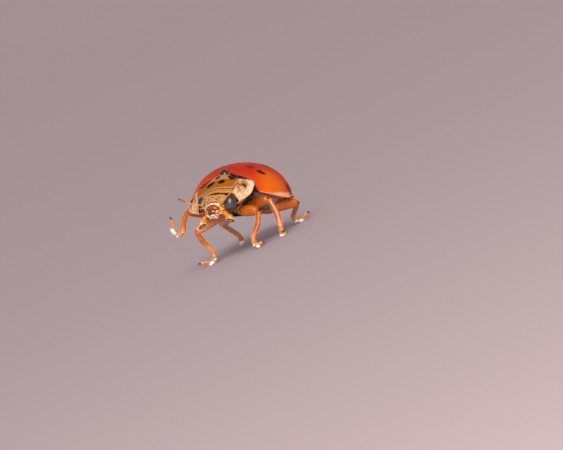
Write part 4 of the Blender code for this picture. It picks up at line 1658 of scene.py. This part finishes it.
@dataclass
class Legs:
    """Six legs, each with a hip joint, thigh, shin and a foot of padded joints and two claws."""

    POSES = {
        (Station.FRONT, Side.LEFT): LegPose(
            (0.62, -2.32, 2.52), (0.71, -2.54, 2.03), (1.76, -2.74, 1.72), (1.64, -3.02, 1.2),
            (1.07, -3.28, 0.56), ((1.08, -3.3, 0.27), (1.28, -3.22, 0.15), (1.44, -3.15, 0.18))),
        (Station.MIDDLE, Side.LEFT): LegPose(
            (0.5, -1.02, 2.36), (0.62, -1.4, 1.92), (2.06, -1.56, 2.02), (2.24, -1.72, 1.2),
            (2.18, -1.94, 0.44), ((2.15, -2.06, 0.25), (2.29, -2.3, 0.15), (2.42, -2.42, 0.26))),
        (Station.HIND, Side.LEFT): LegPose(
            (0.76, -0.14, 1.92), (0.86, -0.28, 1.48), (2.52, 0.66, 1.12), (2.02, 1.2, 0.8),
            (1.46, 1.66, 0.42), ((1.54, 1.86, 0.22), (1.84, 2.08, 0.14), (2.1, 2.26, 0.3))),
        (Station.FRONT, Side.RIGHT): LegPose(
            (-0.24, -2.34, 2.74), (-0.42, -2.62, 2.34), (-1.88, -2.6, 3.04), (-2.12, -2.96, 2.68),
            (-2.28, -3.36, 2.1), ((-2.52, -3.42, 2.19), (-2.6, -3.47, 2.66), (-2.48, -3.47, 3.07)),
            sole=(-0.8, -0.42, -0.42)),
        (Station.MIDDLE, Side.RIGHT): LegPose(
            (-0.5, -0.86, 2.5), (-0.58, -1.12, 2.14), (-2.04, -2.24, 1.9), (-1.98, -2.02, 1.2),
            (-1.78, -1.74, 0.52), ((-1.9, -1.78, 0.23), (-2.24, -1.94, 0.14), (-2.58, -2.1, 0.3)),
            # Painted light: the thigh, shaded by the body, is paled all along.
            pale_and_painted_light_from=(-0.3, 0.6)),
        (Station.HIND, Side.RIGHT): LegPose(
            (-0.6, 0.04, 2.36), (-0.86, -0.18, 1.8), (-2.1, 1.26, 1.54), (-2.02, 1.9, 1.04),
            (-1.9, 2.44, 0.5), ((-2.0, 2.6, 0.22), (-2.12, 2.84, 0.14), (-2.2, 3.06, 0.3)),
            # Painted light: the whole leg, shaded by the body, is paled.
            pale_and_painted_light_from=(-0.4, -0.4)),
    }

    # Half-widths along each part of a leg, from its upper end, and half-depths where they differ.
    THIGH = ((0.2, 0.265, 0.285, 0.28, 0.25, 0.18), (0.17, 0.205, 0.215, 0.205, 0.185, 0.145))
    RING = (0.15, 0.17, 0.15)
    HIP_JOINT = ((0.3, 0.27, 0.19), (0.26, 0.23, 0.17))
    SHIN = ((0.115, 0.125, 0.14, 0.145, 0.14, 0.12), (0.1, 0.105, 0.11, 0.115, 0.11, 0.1))
    SPUR = (0.02, 0.012, 0.004)
    FIRST_JOINT = ((0.105, 0.115, 0.145, 0.14), (0.09, 0.095, 0.1, 0.09))
    LOBED_JOINT = ((0.08, 0.085, 0.08, 0.07), (0.07, 0.075, 0.06, 0.05))
    CLAW_JOINT = (0.064, 0.06, 0.068, 0.078)
    FIRST_PAD = ((0.13, 0.165, 0.15), (0.08, 0.1, 0.09))
    LOBE_PAD = ((0.11, 0.135, 0.125), (0.08, 0.095, 0.09))
    CLAW, CLAW_TOOTH = (0.034, 0.03, 0.01), (0.028, 0.022, 0.008)

    def upper(self, pose: LegPose) -> Shape:
        """Shape the thigh, its ring and the hip joint above it.

        Args:
            pose: the leg's joints.

        Returns:
            All three as one.
        """
        hip, knee = Vector(pose.hip), Vector(pose.knee)
        middle = hip.lerp(knee, 0.5) + Vector((0.0, 0.0, 0.04))
        thigh = Limb([hip.lerp(knee, 0.02), middle, knee], *self.THIGH, bluntness=0.9, squareness=2.3,
                     sides=32, rings=44).shape()
        ring = Limb([hip.lerp(knee, -0.1), hip.lerp(knee, 0.14)], self.RING, sides=24, rings=16).shape()
        socket = Vector(pose.socket)
        base = Limb([socket, socket.lerp(hip, 0.6), hip.lerp(knee, 0.02)], *self.HIP_JOINT, bluntness=0.8,
                    sides=24, rings=24).shape()
        return join_all([thigh, ring, base])

    def lower(self, pose: LegPose) -> Shape:
        """Shape the shin, bowed a little, with its two spurs.

        Args:
            pose: the leg's joints.

        Returns:
            All three as one.
        """
        knee, shin, ankle = Vector(pose.knee), Vector(pose.shin), Vector(pose.ankle)
        bent = knee.lerp(ankle, 0.5).lerp(shin, 0.75)
        skin = Limb([knee, bent, ankle], *self.SHIN, bluntness=0.75, squareness=2.5, sides=28,
                    rings=48).shape()
        inner = (ankle - bent).normalized()
        spurs = []
        for turn in (-1.0, 1.0):
            root = ankle - inner * 0.05 + Vector(pose.sole).cross(inner) * 0.05 * turn
            tip = root + inner * 0.08 + Vector(pose.sole) * 0.03
            spurs.append(Limb([root, tip], self.SPUR, sides=8, rings=8).shape())
        return join_all([skin, *spurs])

    def foot(self, pose: LegPose) -> tuple[Shape, ...]:
        """Shape the foot.

        Args:
            pose: the leg's joints.

        Returns:
            Its joints, the pads below them, and the claws.
        """
        ankle, sole = np.array(pose.ankle), unit(pose.sole)
        first, second, tip = (np.array(p) for p in pose.foot)
        across = unit(np.cross(second - first, sole))
        start = ankle - unit(ankle - pose.shin) * 0.07
        joints = [Limb([start, ankle * 0.5 + first * 0.5, first], *self.FIRST_JOINT, sole, sides=20,
                       rings=18),
                  Limb([second * 0.6 + first * 0.4, second * 0.4 + tip * 0.6 - sole * 0.05, tip],
                       self.CLAW_JOINT, sides=16, rings=22)]
        pads = [Limb([ankle * 0.45 + first * 0.55 + sole * 0.07, first + sole * 0.085], *self.FIRST_PAD,
                     sole, sides=20, rings=14)]
        for sign in (1.0, -1.0):
            end = second + across * 0.06 * sign
            joints.append(Limb([first * 0.9 + ankle * 0.1, (first + end) / 2, end], *self.LOBED_JOINT, sole,
                               sides=18, rings=18))
            pads.append(Limb([first * 0.85 + end * 0.15 + sole * 0.07, end + sole * 0.075], *self.LOBE_PAD,
                             sole, sides=18, rings=14))
        claws = []
        ahead = unit(tip - second)
        across = unit(np.cross(ahead, -sole))
        up = np.cross(across, ahead)
        for sign in (1.0, -1.0):
            root = tip + across * 0.03 * sign
            claws.append(Limb([root, root + ahead * 0.07 + across * 0.04 * sign + up * 0.02,
                               root + ahead * 0.12 + across * 0.06 * sign - up * 0.05],
                              self.CLAW, sides=10, rings=12))
            claws.append(Limb([root + ahead * 0.01,
                               root + ahead * 0.035 + across * 0.015 * sign - up * 0.06],
                              self.CLAW_TOOTH, sides=8, rings=8))
        return tuple(join_all([limb.shape() for limb in limbs]) for limbs in (joints, pads, claws))

    def build(self, sculptor: Sculptor) -> None:
        """Make all six legs.

        Args:
            sculptor: turns the shapes into pieces.
        """
        # Amber chitin under wax, finely pitted and wrinkled: an even satin orange, dark at the joints and
        # paler towards the shin's end. On the right middle leg's thigh and all of the right hind leg the
        # pale shade is painted light, standing in for light bounced into the body's shade.
        horn = Cuticle("waxed_leg_cuticle", "b05604", roughness=0.36, wax=0.35, glow=0.3, mottle=0.2,
                       mottle_size=0.22, pit_spacing=0.06, pit_depth=0.004, wrinkle=0.004,
                       marks=(Mark("pale_end_and_painted_light", "e29a6a", 0.4, 0.04, 0.65),
                              Mark("dark_end", "7a2c08", 0.05, 0.02, 0.8)))
        # The same chitin on the foot, thinner and so paler.
        toes = Cuticle("waxed_toe_cuticle", "dc8038", roughness=0.34, wax=0.4, glow=0.35, mottle=0.2,
                       mottle_size=0.1, wrinkle=0.004,
                       marks=(Mark("dark_end", "8a3408", 0.1, 0.02, 0.7),))
        # White hairs so dense that they look like felt: bright and dull.
        pad = Cuticle("felted_foot_pad", "fbeede", roughness=0.5, wax=0.2, glow=0.4, mottle=0.1,
                      mottle_size=0.05, wrinkle=0.01)
        # Thick, hard chitin worn smooth: dark brown horn with a small highlight.
        claw = Cuticle("hard_claw_horn", "5a2408", roughness=0.25, wax=0.6, glow=0.1, mottle=0.1)
        frame = sculptor.stance.floor
        for number, ((station, side), pose) in enumerate(self.POSES.items()):
            name = f"leg_{station.value}_{side.word}"
            upper, lower = self.upper(pose), self.lower(pose)
            # Paleness here is the shin's own, and painted light on the shaded right legs.
            for part, pale_and_painted_light_from in zip((upper, lower), pose.pale_and_painted_light_from):
                along = part.fields["along"]
                part.fields["pale_end_and_painted_light"] = pale_and_painted_light_from - along
                part.fields["dark_end"] = nearest(np.abs(along - 0.985) - 0.012, along - 0.02)
            joints, pads, claws = self.foot(pose)
            joints.fields["dark_end"] = 0.92 - joints.fields["along"]
            keep = smooth_step(lower.fields["along"], 0.1, 0.3) + 0.02
            shin_hair = Bristles(260, 0.085, 0.006, 0.62, 20 + number, (0, 3)).over(
                lower, np.subtract(pose.ankle, pose.knee), keep)
            thigh_hair = Bristles(120, 0.05, 0.005, 0.7, 40 + number, (1, 3)).over(
                upper, np.subtract(pose.knee, pose.hip))
            toe_hair = Bristles(260, 0.065, 0.005, 0.55, 60 + number, (2, 3)).over(
                joints, np.subtract(pose.foot[1], pose.foot[0]))
            sole_hair = Bristles(420, 0.05, 0.006, 0.55, 80 + number).over(pads, pose.sole)
            for piece in (pads, joints, claws, toe_hair, sole_hair):
                piece.points[:, 2] = np.maximum(piece.points[:, 2], 0.0)
            hairs = join_all([shin_hair, thigh_hair, toe_hair])
            for part, shape, finish, slot, solids in (
                    ("thigh_skin", upper, horn, "leg_cuticle", [name + "_thigh"]),
                    ("shin_skin", lower, horn, "leg_cuticle", [name + "_shin"]),
                    ("foot_joints", joints, toes, "leg_cuticle", [name + "_foot"]),
                    ("foot_pads", pads, pad, "foot_pads", []),
                    ("claws", claws, claw, "leg_cuticle", []),
                    ("hairs", hairs, HAIR, "leg_cuticle", []),
                    ("pad_hairs", sole_hair, pad, "foot_pads", [])):
                sculptor.publish(f"{name}_{part}", shape, frame, finish, solids)


# ---- trunk

@dataclass
class Trunk:
    """The thorax and the abdomen under the wing cases, and the prosternum under the shield."""

    cases: WingCases
    inset: float = 0.56
    belly_depth: float = 0.62
    waist: float = -0.2
    gap: float = 0.03
    paler_breast: float = 0.35   # how much further in the breast's paler flanks reach
    sternite_ends: tuple[float, ...] = (0.36, 0.78, 1.16, 1.5, 1.8, 2.06)

    def skin(self) -> Shape:
        """Shape the plain trunk.

        Returns:
            One closed ball in the body's frame.
        """
        shape = even_ball(64)
        ux, uy, uz = shape.points.T
        q = np.minimum(1.0, np.hypot(ux, uy))
        reach = np.where(uy < 0.0, self.cases.front, self.cases.rear) - self.inset
        x, y = (self.cases.half_width - self.inset) * ux, reach * uy
        rim = self.cases.rim(y) * q**3
        top = (self.cases.height - self.inset) * (1.0 - q**self.cases.fullness)**self.cases.bluntness
        low = -self.belly_depth * (1.0 - q**2.6)**0.6 * (1.0 - 0.34 * smooth_step(-y, -0.5, 1.0))
        z = np.where(uz > 0.0, top, low) + rim
        return Shape(np.stack([x, y, z], axis=-1), shape.faces)

    def sternites(self, shape: Shape) -> Shape:
        """Raise the abdomen's overlapping plates.

        Args:
            shape: the plain trunk.

        Returns:
            The trunk with its plates.
        """
        x, y, z = shape.points.T
        below = smooth_step(-z, -0.05, 0.25)
        start = self.waist
        for end in self.sternite_ends:
            share = (y - start) / (end - start)
            inside = (share >= 0.0) & (share < 1.0)
            z = z - np.where(inside, 0.035 * share * below, 0.0)
            start = end
        return Shape(np.stack([x, y, z], axis=-1), shape.faces)

    def build(self, sculptor: Sculptor) -> None:
        """Make the trunk's pieces.

        Args:
            sculptor: turns the shapes into pieces.
        """
        # Black chitin, dull with pits: brown along the belly's sides, greyer along the breast's.
        dark, breast = (
            Cuticle(name, "2c201e", roughness=0.42, wax=0.2, glow=0.05, mottle=0.3, mottle_size=0.2,
                    pit_spacing=0.09, pit_depth=0.008, wrinkle=0.004,
                    marks=(Mark("flank", flank, 0.5, 0.12, 0.85),
                           Mark("seam", "0c0706", 0.04, 0.01, 0.8)))
            for name, flank in (("waxed_belly_cuticle", "a85a20"), ("waxed_breast_cuticle", "a08c88")))
        whole = self.sternites(self.skin())
        y = whole.points[:, 1]
        seam = nearest(*(np.abs(y - end) - 0.02 for end in self.sternite_ends[:-1]))
        flank = 1.62 - np.hypot(whole.points[:, 0], np.maximum(0.0, y - 0.3) * 0.85)
        for name, finish, held, widening in (
                ("abdomen", dark, np.maximum(y, self.waist + self.gap / 2), 0.0),
                ("thorax", breast, np.minimum(y, self.waist - self.gap / 2), self.paler_breast)):
            points = np.stack([whole.points[:, 0], held, whole.points[:, 2]], axis=-1)
            fields = {"flank": flank - widening, "seam": seam}
            sculptor.publish(name + "_skin", Shape(points, whole.faces, fields), sculptor.stance.body,
                             finish, [name])
        chest = even_ball(30)
        unit = chest.points
        keel = 0.05 * np.exp(-((np.abs(unit[:, 0]) - 0.16) / 0.05)**2) * smooth_step(-unit[:, 2], 0.3, 0.8)
        chest.points = np.stack([1.12 * unit[:, 0], 0.18 + 0.86 * unit[:, 1],
                                 0.62 * unit[:, 2] - keel], axis=-1)
        chest.fields = {"flank": 0.75 - np.abs(chest.points[:, 0]) + 0.4, "seam": np.ones(len(unit))}
        sculptor.publish("prosternum_skin", chest, sculptor.stance.prothorax, dark,
                         ["prosternum"])
        self._scutellum(sculptor)

    def _scutellum(self, sculptor: Sculptor) -> None:
        """Make the small triangular plate between the wing cases' bases.

        Args:
            sculptor: turns the shape into a piece.
        """
        # Black chitin under thick wax: one clear highlight.
        black = Cuticle("waxed_scutellum_cuticle", "1c1512", roughness=0.3, wax=0.9, wax_blur=0.2, glow=0.0,
                        mottle=0.2, pit_spacing=0.08, pit_depth=0.006)
        shape = even_ball(18)
        x, y, z = shape.points.T
        share = (y + 1.0) / 2
        points = np.stack([0.26 * x * (1.0 - 0.7 * share**1.8), 0.22 * y,
                           0.12 * z + 0.02 * (1.0 - x * x)], axis=-1)
        frame = (sculptor.stance.body @ Matrix.Translation((-0.02, -1.88, 1.69))
                 @ Matrix.Rotation(math.radians(37.0), 4, "X"))
        sculptor.publish("scutellum_plate", Shape(points, shape.faces), frame, black,
                         ["scutellum"])


# ---- studio

@dataclass(frozen=True)
class Studio:
    """A plain pale floor, soft lamps and the camera."""

    azimuth: float = 22.7        # degrees round from straight ahead, towards the beetle's left
    elevation: float = 4.0
    roll: float = 24.0
    distance: float = 400.0
    view_width: float = 28.5     # how much the frame takes in, from side to side, at the beetle
    aim: tuple[float, float] = (1.96, -1.104)     # from the body's origin, to the right and up
    sensor: float = 36.0
    sun_power: float = 2.2
    sun_spread: float = 24.0     # degrees, which softens its shadows
    room_light: float = 0.55
    clouds_per_metre: float = 6.0
    floor_reach: float = 1.2     # metres from the beetle to where the floor starts to curve up
    floor_bend: float = 0.4
    floor_rise: float = 1.2

    # Area lamps: places to the right, up and back in metres, width in metres, power and colour.
    LAMPS = (("fill", (0.34, 0.06, 0.16), 0.2, 0.5, "fff8f4"),
             ("low", (-0.04, 0.05, 0.3), 0.17, 0.68, "fff6f0"))

    def axes(self) -> tuple[Vector, Vector, Vector]:
        """Work out how the camera is turned.

        Returns:
            Its right, up and back directions.
        """
        a, e, r = (math.radians(v) for v in (self.azimuth, self.elevation, self.roll))
        right = Vector((math.cos(a), math.sin(a), 0.0))
        up = Vector((-math.sin(a) * math.sin(e), math.cos(a) * math.sin(e), math.cos(e)))
        back = Vector((math.sin(a) * math.cos(e), -math.cos(a) * math.cos(e), math.sin(e)))
        return right * math.cos(r) - up * math.sin(r), right * math.sin(r) + up * math.cos(r), back

    def build(self, stance: Stance) -> None:
        """Set up the floor, the lamps and the camera.

        Args:
            stance: how the beetle stands.
        """
        self._floor()
        self._camera(stance)
        self._lamps(stance)

    def _camera(self, stance: Stance) -> None:
        """Place the camera.

        Args:
            stance: how the beetle stands.
        """
        right, up, back = self.axes()
        origin = stance.body.translation
        place = (origin + right * self.aim[0] + up * self.aim[1] + back * self.distance) * MM
        data = bpy.data.cameras.new("camera")
        data.sensor_width = self.sensor
        data.lens = self.sensor * self.distance / self.view_width
        data.clip_start = 0.01
        data.clip_end = 20.0
        camera = add_object("camera", data)
        camera.matrix_world = Matrix.Translation(place) @ Matrix((right, up, back)).transposed().to_4x4()
        bpy.context.scene.camera = camera

    def _floor(self) -> None:
        """Lay the floor: matt, faintly clouded card that shows no shine and curves up far behind."""
        material = bpy.data.materials.new("matt_card")
        material.use_nodes = True
        tree = material.node_tree
        shader = tree.nodes["Principled BSDF"]
        place = add_node(tree, "TexCoord").outputs["Object"]
        cloud = add_node(tree, "TexNoise", {"Scale": self.clouds_per_metre, "Detail": 1.0},
                         {"Vector": place})
        card = add_node(tree, "Mix", {"data_type": "RGBA", 6: srgb("aea1a5"), 7: srgb("b4a7ab")},
                        {"Factor": cloud.outputs["Fac"]})
        tree.links.new(card.outputs[2], shader.inputs["Base Color"])
        shader.inputs["Roughness"].default_value = 0.75
        reach, bend = self.floor_reach, self.floor_bend
        turns = np.linspace(0.0, math.pi / 2, 25)
        rows = [(-reach, 0.0), (reach, 0.0)]
        rows += [(reach + bend * math.sin(t), bend * (1.0 - math.cos(t))) for t in turns[1:]]
        rows += [(reach + bend, self.floor_rise)]
        back = self.axes()[2]
        away = Vector((-back.x, -back.y, 0.0)).normalized()
        side = away.cross(Vector((0.0, 0.0, 1.0)))
        points = np.array([[away * y + side * x + Vector((0.0, 0.0, z)) for x in (2.0, -2.0)]
                           for y, z in rows], float)
        sheet = grid(points)
        mesh = bpy.data.meshes.new("floor")
        mesh.from_pydata(sheet.points.tolist(), [], sheet.faces)
        mesh.materials.append(material)
        mesh.shade_smooth()
        add_object("floor", mesh)

    def _lamps(self, stance: Stance) -> None:
        """Hang the soft lamps and set the room's own light.

        Args:
            stance: how the beetle stands.
        """
        right, up, back = self.axes()
        origin = stance.body.translation * MM
        for name, (r, u, b), size, power, colour in self.LAMPS:
            data = bpy.data.lights.new(name, "AREA")
            data.size = size
            data.energy = power
            data.color = srgb(colour)[:3]
            lamp = add_object(name, data)
            lamp.location = origin + right * r + up * u + back * b
            lamp.rotation_euler = (lamp.location - origin).to_track_quat("Z", "Y").to_euler()
        data = bpy.data.lights.new("key", "SUN")
        data.energy = self.sun_power
        data.angle = math.radians(self.sun_spread)
        data.color = srgb("fffaf4")[:3]
        key = add_object("key", data)
        key.rotation_euler = (right * -0.2 + up * 0.42 + back * 0.86).to_track_quat("Z", "Y").to_euler()
        world = bpy.data.worlds.new("soft_room")
        world.use_nodes = True
        sky = world.node_tree.nodes["Background"]
        sky.inputs["Color"].default_value = srgb("d6c6ca")
        sky.inputs["Strength"].default_value = self.room_light
        bpy.context.scene.world = world
        bpy.context.scene.view_settings.view_transform = "Standard"


def main() -> None:
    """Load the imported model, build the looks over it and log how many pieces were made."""
    logging.basicConfig(level=logging.INFO)
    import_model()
    stance = Stance()
    sculptor = Sculptor(stance)
    Studio().build(stance)
    cases = WingCases()
    cases.build(sculptor)
    NeckShield().build(sculptor)
    Head().build(sculptor)
    Mouth().build(sculptor)
    Feelers().build(sculptor)
    Legs().build(sculptor)
    Trunk(cases).build(sculptor)
    LOG.info("%d pieces", len(sculptor.made))


if __name__ == "__main__":
    main()
